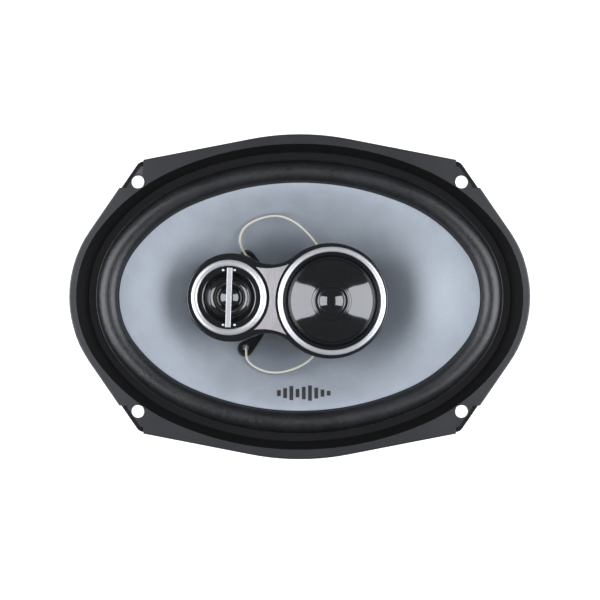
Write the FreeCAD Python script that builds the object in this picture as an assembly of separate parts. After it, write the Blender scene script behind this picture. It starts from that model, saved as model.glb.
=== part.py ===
"""Oval coaxial car speaker, three-way, for a 6 x 9 inch cut-out.

Each piece is a solid of its own, written to parts/NODE.step in millimetres.
Frame: the origin is on the speaker's axis in the mounting plane, which is the rear face of the
flange. +Z points out of the speaker towards the listener and +X runs along its long side.
"""
import FreeCAD, Part
import math
import os

from FreeCAD import Vector

# ---------------------------------------------------------------- driving dimensions (mm, degrees)
# flange of the basket
flange_length = 235.0
flange_width = 165.8
flange_end_radius = 59.0        # the two short ends
flange_side_radius = 130.0      # the two long sides, about their middles
flange_end_angle = 34.5         # half of the arc at each end
flange_side_angle = 11.0        # half of the arc at each side
flange_corner_radius = 5.0
flange_height = 3.0             # front face above the mounting plane
flange_edge_round = 0.8
screw_inset_x = 35.0            # from the flange's end to the line of two holes
screw_inset_y = 24.4
screw_hole_radius = 3.3
ear_height = 2.0                # the sunk ear around each screw hole
ear_reach_x = 2.9               # from the hole's centre to the ear's inner creases
ear_reach_y = 3.0
ear_step = 0.6                  # the ear stands in from the flange's edge by this much
ear_skirt = 2.2                 # width of the ear's turned-down edge
ear_skirt_edge = 0.3
ear_wall = 1.5
flange_edge_wall = 2.0          # turned-down edge of the flange

# basket, one stamped sheet
sheet = 1.0
rim_at_ends = 3.6               # flange from its edge to the mouth of the recess
rim_at_sides = 5.0
recess_slope_x = 5.3            # from the recess's mouth in to the glued land
recess_slope_y = 3.3
rear_lean = 0.8                 # rear skin stands this far out from the front one on a sloping wall
rear_rim = 1.5                  # and this far around the recess's mouth
seat_z = -3.5                   # face that the surround is glued to
land_width = 4.6                # glued width of the surround
spider_seat_z = -42.0
spider_seat_radius = 59.5
spider_seat_width = 6.0
floor_z = -56.0
floor_radius = 44.0
floor_bore_clearance = 2.4      # winding to the bore in the basket's floor
window_width = 22.0
window_height = 21.0
window_corner = 5.0
window_z = -23.0
window_angles = (0, 30, 60, 90, 120, 150, 210, 240, 270, 300, 330)

# cone, surround and spider
cone_edge_z = -1.5
cone_neck_z = -38.0
cone_wall = 0.8
cone_flare = 1.5                # 1 is a straight side, more is steeper at the neck
roll_width = 11.5
surround_wall = 0.6
surround_lip = 2.5              # width under the cone's edge
surround_lip_drop = 0.75        # from the cone's rear face down to the lip
spider_waves = 5
spider_wave_height = 1.3
spider_wall = 0.6
spider_collar = 2.0             # flat at the former
spider_apron = 3.0              # flat between the last wave and the glued edge
spider_edge_gap = 0.6           # glued edge to the basket's wall
glue_gap = 0.1                  # between a soft part and the cone body that it is glued to

# voice coil and motor
pole_radius = 14.6
coil_clearance = 0.4            # pole to former
former_wall = 0.3
former_top_z = -37.0
former_length = 29.5
winding_wall = 0.8
winding_length = 12.0
plate_clearance = 0.8           # winding to top plate
top_plate_radius = 43.0
top_plate_height = 5.0
magnet_radius = 45.0
magnet_bore_radius = 22.0
magnet_height = 16.0
magnet_chamfer = 1.0
back_plate_radius = 42.0
back_plate_height = 5.0
back_plate_chamfer = 0.8
rivet_circle_radius = 33.0
rivet_count = 4
rivet_radius = 2.4
rivet_head_radius = 4.2
rivet_head_height = 1.2
rivet_head_round = 0.72

# post and its bolt
post_radius = 8.0
post_foot_radius = 11.0
post_foot_height = 4.0
post_foot_edge = 1.0
post_cap_radius = 11.5
post_cap_height = 3.0
post_cap_taper = 2.0
bolt_radius = 2.45
bolt_hole_radius = 2.6
bolt_head_radius = 4.5
bolt_head_height = 3.5
bolt_head_clearance = 0.3
bolt_head_sink = 0.4            # below the yoke's back
bolt_grip = 16.0                # depth of the bolt's hole in the post
bolt_end_room = 1.0
socket_radius = 2.3
socket_depth = 2.4

# pod that carries the two small drivers
pod_turn = -1.9                 # turn about the speaker's axis
pod_shift = -1.6                # its long line passes this far to one side of the axis
tweeter_x = -35.7               # tweeter's centre on the pod's long line
ring_spacing = 5.6              # between the two trim rings
small_lobe_shift = 1.0          # each lobe's centre is a little nearer the post than its driver's
large_lobe_shift = -0.6
small_lobe_margin = 3.4         # from the trim ring to the pod's edge
large_lobe_margin = 1.9
waist_radius = 17.5             # concave sides between the lobes
pod_front_z = 12.0
pod_back_z = -6.0
pod_wall = 1.6
pod_deck = 2.0
pod_edge_round = 0.9
pod_lid = 1.5
pod_boss_radius = 3.0
pod_boss_height = 8.5
pod_boss_overlap = 0.6          # how far a boss stands in the wall
pod_screw_angle = 30.0
pod_screw_radius = 1.15
pod_screw_head_radius = 2.3
pod_screw_head_height = 1.3
pod_screw_room = 1.0            # hole deeper than its screw
cross_reach = 1.4
cross_half_width = 0.3
cross_depth = 0.7
trim_sink = 1.2                 # how deep the trim rings sit in the pod's face
trim_height = 2.1
trim_round = 0.7
fit_gap = 0.1                   # loose fit of one piece in another of the same body

# centre plate of the pod
plate_thickness = 0.5
plate_left_margin = 1.4         # from the tweeter's ring
plate_right_margin = 1.1        # from the midrange's ring
plate_left_angle = 51.2
plate_right_angle = 39.4
plate_waist = 1.3               # how far the long sides curve in
plate_corner_ease = 6.0         # degrees that a corner gives way for each millimetre of gap

# both small drivers
driver_face_gap = 0.2           # driver's face in its hole
driver_face_drop = 1.4          # how far the face reaches behind the deck
driver_cup_floor = 1.4
driver_cup_chamfer = 0.5
driver_pole_height = 2.0
driver_pole_drop = 0.2          # pole disc below the cup's edge
dome_wall = 0.5

# tweeter
tweeter_bowl_radius = 13.4
tweeter_face_width = 2.5        # flat from the bowl to the ring
tweeter_ring_width = 3.1
tweeter_ring_seat = 1.5         # how much of the ring rests on the deck's edge
tweeter_lip = 0.6
tweeter_lip_drop = 1.0
tweeter_dome_radius = 6.8
tweeter_dome_clearance = 0.8    # dome to the bowl's throat
tweeter_dome_height = 3.0
tweeter_dome_lift = 0.9         # dome's edge above the cup
tweeter_throat_lip = 0.6
tweeter_throat_height = 1.2
tweeter_throat_bevel = 0.2
tweeter_foot_width = 2.0
tweeter_bar_width = 2.7
tweeter_bar_length = 30.0
tweeter_bar_height = 1.0
tweeter_bar_round = 0.3
tweeter_bar_pin_radius = 0.45
tweeter_bar_pin_depth = 0.6
tweeter_coil_inset = 0.5        # coil inside the dome's edge
tweeter_coil_wall = 0.4
tweeter_coil_length = 3.4
tweeter_gap = 0.4
tweeter_cup_wall = 2.3
tweeter_cup_top_z = 4.7

# midrange
midrange_cone_radius = 20.7
midrange_cone_wall = 0.7
midrange_seat_drop = 2.2        # surround's seat below the trim ring's
midrange_roll_width = 1.9       # from the cone's edge to the frame's wall
midrange_roll_height = 1.0
midrange_roll_wall = 0.5
midrange_roll_shoulder = 0.4    # the roll's sides lean in by this much
midrange_roll_shoulder_drop = 0.3
midrange_roll_flat = 0.4        # thickness of the glued edge
midrange_roll_inner_start = 0.6
midrange_roll_inner_end = 1.2
midrange_mouth_gap = 0.3
midrange_bevel_width = 2.1      # from the frame's wall to the ring
midrange_ring_width = 2.6
midrange_ring_seat = 0.9        # how much of the ring rests on the deck's edge
midrange_seat_bevel = 0.5
midrange_seat_width = 1.0
midrange_basket_inner_drop = 2.6
midrange_basket_outer_drop = 3.8
midrange_foot_height = 1.0
midrange_foot_width = 2.0
midrange_foot_inset = 1.8
midrange_foot_drop = 1.2
midrange_collar_radius = 9.7
midrange_collar_lift = 2.8      # collar above the cup
midrange_collar_rise = 0.6
midrange_collar_width = 0.5
midrange_collar_glue = 0.4      # cone, coil and cap meet this far above the collar
midrange_cap_radius = 7.4
midrange_cap_height = 2.6
midrange_cap_sink = 0.05
midrange_coil_radius = 6.9
midrange_coil_wall = 0.5
midrange_coil_depth = 2.0       # coil below the cup's edge
midrange_gap = 0.5
midrange_cup_wall = 2.5
midrange_cup_top_z = 0.6

# capacitors inside the pod
capacitor_radius = 4.0
capacitor_length = 16.0
capacitor_gap = 1.5
capacitor_round = 0.6
tweeter_capacitor_x = -20.0

# terminals on the basket's end
terminal_seat_length = 30.0
terminal_seat_width = 16.0
terminal_seat_thickness = 3.0
terminal_board_length = 28.0
terminal_board_width = 14.0
terminal_board_thickness = 1.6
terminal_board_corner = 1.5
terminal_pitch = 15.0
blade_width_positive = 6.3
blade_width_negative = 4.8
blade_thickness = 0.8
blade_length = 9.0
blade_foot = 9.0
blade_eye_radius = 0.8
blade_eye_inset = 2.5
terminal_rivet_radius = 1.3
terminal_rivet_head = 2.4
terminal_rivet_height = 0.7

# leads, their pads and the mark on the cone
lead_radius = 0.6
lead_stand_off = 0.6            # from an eyelet to the end of its lead
lead_rise = 2.6                 # first run of a front lead
lead_run = 6.0                  # first and last runs of a rear lead
lead_hole_radius = 1.6
lead_hole_inset = 2.4           # from the terminal board's edge
lead_hole_side = 3.4
front_top_route = ((-31.6, 27.5, -11.0), (-29.8, 35.2, -8.6), (-22.3, 40.0, -6.6), (-11.5, 42.3, -5.4),
                   (-2.2, 38.6, -5.6), (4.6, 32.4, -7.4), (10.0, 25.6, -9.2), (12.0, 20.4, -9.4))
front_bottom_route = ((-27.6, -33.6, -10.6), (-19.0, -38.6, -7.6), (-9.5, -39.4, -6.6),
                      (1.6, -35.6, -7.4), (8.1, -30.2, -8.6), (11.4, -24.0, -9.6), (12.4, -19.8, -9.4))
rear_route = ((-66.0, 7.0, -33.0), (-55.0, 12.0, -35.5), (-43.0, 17.0, -34.0))
pad_thickness = 1.0
pad_radius = 4.0
top_pad_centre = (-27.6, 20.6)
bottom_pad_centre = (-28.4, -27.2)
top_pad_tip = (-20.0, 17.0)
bottom_pad_tip = (-18.3, -18.9)
eyelet_radius = 1.1
eyelet_flange = 1.8
eyelet_lip = 0.35
mark_centre = (2.1, -49.6)
mark_heights = (3.0, 5.0, 7.0, 4.2, 6.2, 7.6, 5.4, 3.6, 2.4)
mark_bar_width = 1.9
mark_pitch = 3.2
mark_thickness = 0.15

through = 5.0                   # how far a cutter runs past the face that it opens

# ---------------------------------------------------------------- values worked out from them
screw_spacing_x = flange_length - 2 * screw_inset_x
screw_spacing_y = flange_width - 2 * screw_inset_y
recess_length = flange_length - 2 * rim_at_ends
recess_width = flange_width - 2 * rim_at_sides
roll_edge = roll_width
land_edge = roll_width + land_width
cone_length = recess_length - 2 * (recess_slope_x + land_edge)
cone_width = recess_width - 2 * (recess_slope_y + land_edge)
former_inner = pole_radius + coil_clearance
former_outer = former_inner + former_wall
winding_outer = former_outer + winding_wall
plate_bore_radius = winding_outer + plate_clearance
floor_bore_radius = winding_outer + floor_bore_clearance
plate_top_z = floor_z - sheet
magnet_top_z = plate_top_z - top_plate_height
back_plate_top_z = magnet_top_z - magnet_height
back_z = back_plate_top_z - back_plate_height
winding_middle_z = plate_top_z - top_plate_height / 2
deck_z = pod_front_z - pod_deck
trim_z = pod_front_z - trim_sink
lid_top_z = pod_back_z + pod_lid
cup_base_z = lid_top_z + fit_gap
face_back_z = deck_z - driver_face_drop
tweeter_throat_radius = tweeter_dome_radius + tweeter_dome_clearance
tweeter_coil_radius = tweeter_dome_radius - tweeter_coil_inset
tweeter_ring_inner = tweeter_bowl_radius + tweeter_face_width
tweeter_ring_outer = tweeter_ring_inner + tweeter_ring_width
tweeter_hole_radius = tweeter_ring_inner + tweeter_ring_seat
tweeter_face_radius = tweeter_hole_radius - driver_face_gap
midrange_seat_radius = midrange_cone_radius + midrange_roll_width
midrange_ring_inner = midrange_seat_radius + midrange_bevel_width
midrange_ring_outer = midrange_ring_inner + midrange_ring_width
midrange_hole_radius = midrange_ring_inner + midrange_ring_seat
midrange_frame_radius = midrange_hole_radius - driver_face_gap
midrange_x = tweeter_x + tweeter_ring_outer + ring_spacing + midrange_ring_outer
small_lobe_x = tweeter_x + small_lobe_shift
small_lobe_radius = tweeter_ring_outer + small_lobe_margin
large_lobe_x = midrange_x + large_lobe_shift
large_lobe_radius = midrange_ring_outer + large_lobe_margin
plate_left_radius = tweeter_ring_outer + plate_left_margin
plate_right_radius = midrange_ring_outer + plate_right_margin
capacitor_pitch = 2 * capacitor_radius + capacitor_gap
eyelet_rise = pad_thickness + eyelet_lip
eyelet_depth = cone_wall + eyelet_lip

ORIGIN = Vector(0, 0, 0)
UP = Vector(0, 0, 1)

# Normals' angles at which the arcs of every oval meet, and how blunt its ends are.
# With these an oval of eight tangent arcs stays within 0.3 mm of an ellipse.
OVAL_ANGLES = (36.4, 66.6)
OVAL_BLUNTNESS = 0.165


# ---------------------------------------------------------------- shape helpers
def polar(radius, angle):
    """Point at this distance and angle from the origin, in the plane of the flange."""
    turn = math.radians(angle)
    return Vector(radius * math.cos(turn), radius * math.sin(turn), 0)


def cylinder(radius, low, high, x=0.0, y=0.0):
    """Upright cylinder between two heights."""
    return Part.makeCylinder(radius, high - low, Vector(x, y, low), UP)


def tube(outer, inner, low, high, x=0.0, y=0.0):
    """Upright tube between two heights."""
    return cylinder(outer, low, high, x, y).cut(cylinder(inner, low - 1, high + 1, x, y))


def box(x_low, x_high, y_low, y_high, z_low, z_high):
    """Box between two corners."""
    corner = Vector(x_low, y_low, z_low)
    return Part.makeBox(x_high - x_low, y_high - y_low, z_high - z_low, corner)


def turned(profile, x=0.0, y=0.0):
    """Solid of revolution about an upright axis from a closed list of (radius, height) corners."""
    points = [Vector(x + radius, y, height) for radius, height in profile]
    face = Part.Face(Part.makePolygon(points + points[:1]))
    return face.revolve(Vector(x, y, 0), UP, 360)


def shell_cap(radius, base_z, height, wall, x=0.0, y=0.0):
    """Thin dome: a spherical cap with a wall, closed on itself."""
    def cap_arc(cap_radius, cap_height):
        ball = (cap_radius ** 2 + cap_height ** 2) / (2 * cap_height)
        centre_z = base_z + cap_height - ball
        half = math.asin(cap_radius / ball) / 2
        middle = Vector(x + ball * math.sin(half), y, centre_z + ball * math.cos(half))
        rim = Vector(x + cap_radius, y, base_z)
        top = Vector(x, y, base_z + cap_height)
        return Part.Arc(rim, middle, top).toShape(), rim, top
    outer, outer_rim, outer_top = cap_arc(radius, height)
    inner, inner_rim, inner_top = cap_arc(radius - wall, height - wall)
    top_line = Part.makeLine(outer_top, inner_top)
    rim_line = Part.makeLine(inner_rim, outer_rim)
    wire = Part.Wire(Part.__sortEdges__([outer, top_line, inner, rim_line]))
    return Part.Face(wire).revolve(Vector(x, y, 0), UP, 360)


def prism(wire, low, high):
    """Upright prism on a flat closed wire that lies at height zero."""
    face = Part.Face(wire)
    face.translate(Vector(0, 0, low))
    return face.extrude(Vector(0, 0, high - low))


def arc_through(start, middle, end):
    """Edge along the arc through three points."""
    return Part.Arc(start, middle, end).toShape()


def oval(length, width, z, grow=0.0):
    """Closed wire of eight tangent arcs, or a circle cut in eight where length equals width.

    grow moves the whole line outwards by that distance, so grown ovals stay parallel.
    """
    a = length / 2
    b = width / 2
    first, second = (math.radians(angle) for angle in OVAL_ANGLES)
    end_radius = (1 + OVAL_BLUNTNESS * (1 - b / a)) * b * b / a
    p = math.cos(second) - math.cos(first)
    q = math.sin(second) - math.sin(first)
    along = end_radius - a - end_radius * math.cos(first)
    across = b - end_radius * math.sin(first)
    down = p * (1 - math.sin(second)) + q * math.cos(second)
    middle_radius = (along * (1 - math.sin(second)) + across * math.cos(second)) / down
    side_radius = (p * across - q * along) / down
    end_centre = Vector(a - end_radius, 0, z)
    lean = end_radius - middle_radius
    middle_centre = end_centre + Vector(lean * math.cos(first), lean * math.sin(first), 0)
    side_centre = Vector(0, b - side_radius, z)
    one, two = OVAL_ANGLES
    edges = []
    for centre, radius, start, end in (
            (end_centre, end_radius, -one, one),
            (middle_centre, middle_radius, one, two),
            (side_centre, side_radius, two, 180 - two)):
        edges.append(Part.makeCircle(radius + grow, centre, UP, start, end))
    mirrored = Vector(-middle_centre.x, middle_centre.y, z)
    edges.append(Part.makeCircle(middle_radius + grow, mirrored, UP, 180 - two, 180 - one))
    opposite = Vector(-end_centre.x, 0, z)
    edges.append(Part.makeCircle(end_radius + grow, opposite, UP, 180 - one, 180 + one))
    mirrored = Vector(-middle_centre.x, -middle_centre.y, z)
    edges.append(Part.makeCircle(middle_radius + grow, mirrored, UP, 180 + one, 180 + two))
    opposite = Vector(0, -side_centre.y, z)
    edges.append(Part.makeCircle(side_radius + grow, opposite, UP, 180 + two, 360 - two))
    mirrored = Vector(middle_centre.x, -middle_centre.y, z)
    edges.append(Part.makeCircle(middle_radius + grow, mirrored, UP, 360 - two, 360 - one))
    return Part.Wire(edges)


def band_between(lower, upper):
    """Faces that run straight from one section to the next, flat where both lie at one height."""
    if abs(lower.BoundBox.ZMin - upper.BoundBox.ZMin) < 1e-9:
        pair = sorted((lower, upper), key=lambda wire: wire.BoundBox.XLength)
        return [Part.makeFace(pair, "Part::FaceMakerBullseye")]
    return [Part.makeRuledSurface(first, second) for first, second in zip(lower.Edges, upper.Edges)]


def ring_of(sections):
    """Closed ring whose skin runs from each section to the next and back to the first."""
    faces = []
    for first, second in zip(sections, sections[1:] + sections[:1]):
        faces.extend(band_between(first, second))
    shell = Part.makeShell(faces)
    shell.sewShape()
    solid = Part.makeSolid(shell)
    if solid.Volume < 0:
        solid.reverse()
    return solid


def save(name, shape):
    """Write one node's solids to its STEP file."""
    solids = shape.Solids
    volume = sum(solid.Volume for solid in solids)
    if not solids or not shape.isValid() or volume <= 0:
        raise ValueError(name + " is not a valid solid")
    Part.makeCompound(solids).exportStep("parts/" + name + ".step")
    print(name, len(solids), round(volume, 1))


# ---------------------------------------------------------------- basket
def flange_outline(inset=0.0):
    """Flange's closed outline, moved inwards by inset: four arcs joined by straights and corners."""
    a = flange_length / 2 - inset
    b = flange_width / 2 - inset
    end = flange_end_radius - inset
    side = flange_side_radius - inset
    corner = flange_corner_radius - inset
    end_at = polar(end, flange_end_angle) + Vector(a - end, 0, 0)
    side_at = polar(side, 90 - flange_side_angle) + Vector(0, b - side, 0)
    end_run = polar(1, flange_end_angle + 90)
    side_run = polar(1, -flange_side_angle)
    gap = end_at - side_at
    cross = side_run.x * end_run.y - side_run.y * end_run.x
    reach = (gap.x * end_run.y - gap.y * end_run.x) / cross
    vertex = side_at + side_run * reach
    half_turn = math.radians(90 - flange_end_angle - flange_side_angle) / 2
    setback = corner * math.tan(half_turn)
    on_side = vertex - side_run * setback
    on_end = vertex - end_run * setback
    inward = (on_side + on_end) * 0.5 - vertex
    inward.normalize()
    bend_centre = vertex + inward * (corner / math.cos(half_turn))
    on_bend = bend_centre - inward * corner
    corners = []
    for x_sign, y_sign in ((1, 1), (-1, 1), (-1, -1), (1, -1)):
        run = [Vector(v.x * x_sign, v.y * y_sign, 0) for v in (end_at, on_end, on_bend, on_side, side_at)]
        corners.append(run if x_sign * y_sign > 0 else run[::-1])
    middles = (Vector(0, b, 0), Vector(-a, 0, 0), Vector(0, -b, 0), Vector(a, 0, 0))
    edges = []
    for run, middle, following in zip(corners, middles, corners[1:] + corners[:1]):
        edges.append(Part.makeLine(run[0], run[1]))
        edges.append(arc_through(run[1], run[2], run[3]))
        edges.append(Part.makeLine(run[3], run[4]))
        edges.append(arc_through(run[4], middle, following[0]))
    return Part.Wire(edges)


def ear_boxes(grow, low, high):
    """Four corner blocks that bound the ears inwards, each moved inwards by grow."""
    x_low = screw_spacing_x / 2 - ear_reach_x - grow
    y_low = screw_spacing_y / 2 - ear_reach_y - grow
    blocks = [box(x_low, flange_length, y_low, flange_width, low, high)]
    blocks.append(blocks[0].mirror(ORIGIN, Vector(1, 0, 0)))
    blocks.extend([block.mirror(ORIGIN, Vector(0, 1, 0)) for block in blocks[:2]])
    return Part.makeCompound(blocks)


def basket_sections():
    """Sections of the stamped body: down its front face and back up its rear face."""
    mouth = (recess_length, recess_width)
    edge = (cone_length, cone_width)
    seat_width = 2 * spider_seat_radius
    landing = 2 * (spider_seat_radius - spider_seat_width)
    floor = 2 * floor_radius
    bore = 2 * floor_bore_radius
    front = [oval(*mouth, flange_height), oval(*edge, seat_z, land_edge),
             oval(*edge, seat_z, roll_edge + fit_gap),
             oval(seat_width, seat_width, spider_seat_z), oval(landing, landing, spider_seat_z),
             oval(floor, floor, floor_z), oval(bore, bore, floor_z)]
    rear = [oval(bore, bore, plate_top_z), oval(floor, floor, plate_top_z, rear_lean),
            oval(landing, landing, spider_seat_z - sheet, rear_lean),
            oval(seat_width, seat_width, spider_seat_z - sheet, rear_lean),
            oval(*edge, seat_z - sheet, roll_edge + rear_lean + fit_gap),
            oval(*edge, seat_z - sheet, land_edge + rear_lean),
            oval(*mouth, 0, rear_rim), oval(*mouth, flange_height, rear_rim)]
    return front + rear


def window_cutter(angle):
    """Block that cuts one rounded window through the basket's side, along this direction."""
    reach = flange_length
    block = Part.makeBox(reach, window_width, window_height,
                         Vector(cone_width / 4, -window_width / 2, window_z - window_height / 2))
    long_edges = [edge for edge in block.Edges if abs(edge.Length - reach) < 1e-6]
    block = block.makeFillet(window_corner, long_edges)
    block.rotate(ORIGIN, UP, angle)
    return block


def terminal_frame():
    """Middle of the terminal seat's outer face and the lean of the basket's side there."""
    top_x = cone_length / 2 + roll_edge + sheet
    foot_x = spider_seat_radius + sheet
    top_z = seat_z - sheet
    foot_z = spider_seat_z - sheet
    lean = math.degrees(math.atan2(top_z - foot_z, top_x - foot_x))
    return Vector(-(top_x + foot_x) / 2, 0, (top_z + foot_z) / 2), lean


def on_terminal_seat(shape):
    """Place a shape made with its outward side up, about the origin, on the terminal seat."""
    middle, lean = terminal_frame()
    shape.rotate(ORIGIN, Vector(0, 1, 0), 180 + lean)
    shape.translate(middle)
    return shape


def screw_places():
    """Centres of the four mounting holes."""
    return [(x * screw_spacing_x / 2, y * screw_spacing_y / 2) for x in (1, -1) for y in (1, -1)]


def rivet_places():
    """Centres of the rivets that hold the basket to the top plate."""
    step = 360 / rivet_count
    return [polar(rivet_circle_radius, step * (index + 0.5)) for index in range(rivet_count)]


def make_flange():
    """Flange plate with its sunk ears, turned-down edges and hollow rear face."""
    plate = prism(flange_outline(), 0, flange_height)
    top_edges = [edge for edge in plate.Edges
                 if abs(edge.BoundBox.ZMin - flange_height) < 1e-6 and edge.BoundBox.ZLength < 1e-6]
    plate = plate.makeFillet(flange_edge_round, top_edges)
    edge = flange_outline(ear_step)
    skirt = prism(edge, 0, ear_skirt_edge)
    slope = Part.makeLoft([placed_at(edge, ear_skirt_edge),
                           placed_at(flange_outline(ear_step + ear_skirt), ear_height)], True, True)
    ear_body = skirt.fuse(slope)
    above = flange_height + through
    plate = plate.cut(ear_boxes(0, -through, above).cut(ear_body))
    hollow = prism(flange_outline(ear_step + flange_edge_wall), -through, flange_height - sheet)
    hollow = hollow.cut(ear_boxes(ear_wall, -2 * through, flange_height))
    plate = plate.cut(hollow)
    return plate.cut(prism(oval(recess_length, recess_width, 0, sheet), -through, above))


def placed_at(wire, height):
    """Copy of a flat wire at another height."""
    moved = wire.copy()
    moved.translate(Vector(0, 0, height))
    return moved


def make_basket():
    """Stamped steel basket with its windows, screw holes, rivet holes and terminal seat."""
    body = ring_of(basket_sections())
    seat = Part.makeBox(terminal_seat_width, terminal_seat_length, terminal_seat_thickness,
                        Vector(-terminal_seat_width / 2, -terminal_seat_length / 2,
                               -terminal_seat_thickness))
    body = body.fuse(on_terminal_seat(seat))
    for angle in window_angles:
        body = body.cut(window_cutter(angle))
    body = body.fuse(make_flange())
    body = body.cut(ear_boxes(0, ear_height, flange_height + through))
    for x, y in screw_places():
        body = body.cut(cylinder(screw_hole_radius, -through, flange_height + through, x, y))
    for place in rivet_places():
        hole = cylinder(rivet_radius + fit_gap / 2, plate_top_z - 1, floor_z + 1, place.x, place.y)
        body = body.cut(hole)
    for side in (1, -1):
        body = body.cut(on_terminal_seat(lead_hole(side)))
        body = body.cut(on_terminal_seat(terminal_rivet_hole(side)))
    return body


# ---------------------------------------------------------------- cone, suspension and coil
def cone_section(share, shift):
    """Section of the cone at a share of the way from its neck to its edge, shifted in height."""
    neck = 2 * former_outer
    length = neck + (cone_length - neck) * share
    width = neck + (cone_width - neck) * share
    rise = 1 - (1 - share) ** cone_flare
    height = cone_neck_z + (cone_edge_z - cone_neck_z) * rise
    return oval(length, width, height + shift)


def cone_layer(low, high):
    """Layer that follows the cone's front face between two shifts in height."""
    shares = (0, 0.12, 0.28, 0.46, 0.64, 0.8, 0.91, 0.97, 1)
    top = [cone_section(share, high) for share in shares]
    bottom = [cone_section(share, low) for share in reversed(shares)]
    return ring_of(top + bottom)


def make_surround():
    """Half-roll surround: glued land, roll and the lip under the cone's edge."""
    size = (cone_length, cone_width)
    lip_z = cone_edge_z - cone_wall - surround_lip_drop - surround_wall
    roll_radius = roll_width / 2
    steps = 8
    outer = []
    inner = []
    for index in range(steps + 1):
        angle = math.pi * index / steps
        base = lip_z + (seat_z - lip_z) * index / steps
        for radius, points in ((roll_radius, outer), (roll_radius - surround_wall, inner)):
            grow = roll_radius - radius * math.cos(angle)
            height = base + surround_wall + radius * math.sin(angle)
            points.append(oval(*size, height, grow))
    lip = -surround_lip
    land = land_edge - fit_gap
    sections = [oval(*size, lip_z + surround_wall, lip)] + outer
    sections += [oval(*size, seat_z + surround_wall, land), oval(*size, seat_z, land)]
    sections += [oval(*size, seat_z, roll_edge - surround_wall)] + inner[-2:0:-1]
    sections += [oval(*size, lip_z, surround_wall), oval(*size, lip_z, lip)]
    return ring_of(sections)


def make_spider():
    """Corrugated spider between the voice coil's former and its seat in the basket."""
    inner = former_outer + glue_gap
    outer = spider_seat_radius - spider_edge_gap
    base = spider_seat_z
    first = inner + spider_collar
    last = spider_seat_radius - spider_seat_width - spider_apron
    step = (last - first) / (2 * spider_waves)
    top = [(inner, base + spider_wall)]
    for index in range(2 * spider_waves + 1):
        crest = spider_wave_height if index % 2 else 0
        top.append((first + step * index, base + spider_wall + crest))
    top.append((outer, base + spider_wall))
    bottom = [(radius, height - spider_wall) for radius, height in reversed(top)]
    return turned(top + bottom)


def make_motor():
    """Top plate, magnet, yoke with its pole, and the rivets through the basket's floor."""
    plate = tube(top_plate_radius, plate_bore_radius, magnet_top_z, plate_top_z)
    rivets = []
    for place in rivet_places():
        hole = cylinder(rivet_radius + fit_gap / 2, magnet_top_z - 1, plate_top_z + 1, place.x, place.y)
        plate = plate.cut(hole)
        head = cylinder(rivet_head_radius, floor_z, floor_z + rivet_head_height, place.x, place.y)
        head = head.makeFillet(rivet_head_round, [top_circle(head)])
        rivets.append(head.fuse(cylinder(rivet_radius, magnet_top_z, floor_z, place.x, place.y)))
    inset = magnet_radius - magnet_chamfer
    magnet = turned([(magnet_bore_radius, back_plate_top_z), (inset, back_plate_top_z),
                     (magnet_radius, back_plate_top_z + magnet_chamfer),
                     (magnet_radius, magnet_top_z - magnet_chamfer),
                     (inset, magnet_top_z), (magnet_bore_radius, magnet_top_z)])
    counterbore = bolt_head_radius + bolt_head_clearance
    head_seat_z = back_z + bolt_head_height
    yoke = turned([(bolt_hole_radius, head_seat_z), (counterbore, head_seat_z), (counterbore, back_z),
                   (back_plate_radius - back_plate_chamfer, back_z),
                   (back_plate_radius, back_z + back_plate_chamfer),
                   (back_plate_radius, back_plate_top_z), (pole_radius, back_plate_top_z),
                   (pole_radius, plate_top_z), (bolt_hole_radius, plate_top_z)])
    save("top_plate", plate)
    save("magnet", magnet)
    save("yoke", yoke)
    save("basket_rivets", Part.makeCompound(rivets))


def top_circle(shape):
    """Highest round edge of a shape."""
    return max(shape.Edges, key=lambda edge: (edge.BoundBox.ZMin, edge.Length))


def make_post():
    """Post from the pole to the pod, and the bolt that holds it from behind."""
    cap_low = pod_back_z - post_cap_height
    foot_high = plate_top_z + post_foot_height
    bolt_top = plate_top_z + bolt_grip
    post = turned([(0, bolt_top), (bolt_radius + fit_gap / 2, bolt_top),
                   (bolt_radius + fit_gap / 2, plate_top_z), (post_foot_radius, plate_top_z),
                   (post_foot_radius, plate_top_z + post_foot_edge), (post_radius, foot_high),
                   (post_radius, cap_low - post_cap_taper), (post_cap_radius, cap_low),
                   (post_cap_radius, pod_back_z), (0, pod_back_z)])
    head = cylinder(bolt_head_radius, back_z + bolt_head_sink, back_z + bolt_head_height)
    hexagon = Part.makePolygon([polar(socket_radius, 60 * index) for index in range(7)])
    shank = cylinder(bolt_radius, back_z + bolt_head_height, bolt_top - bolt_end_room)
    bolt = head.fuse(shank).cut(prism(hexagon, back_z, back_z + socket_depth))
    save("post", post)
    save("post_bolt", bolt)


def make_woofer():
    """Soft parts, cone and voice coil of the large driver."""
    save("surround", make_surround())
    save("spider", make_spider())
    pads, eyelets, layer = lead_pads()
    hole_radius = eyelet_radius + fit_gap / 2
    holes = Part.makeCompound([on_cone(cylinder(hole_radius, -through, through), x, y)
                               for x, y in (top_pad_centre, bottom_pad_centre)])
    save("cone", cone_layer(-cone_wall, 0).cut(holes))
    save("voice_coil_former", tube(former_outer, former_inner, former_top_z - former_length, former_top_z))
    save("voice_coil_winding", tube(winding_outer, former_outer, winding_middle_z - winding_length / 2,
                                    winding_middle_z + winding_length / 2))
    for name, pad in zip(("lead_pad_top", "lead_pad_bottom"), pads):
        save(name, pad.common(layer).cut(holes))
    save("cone_eyelets", Part.makeCompound(eyelets))
    save("cone_mark", make_mark())


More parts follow.
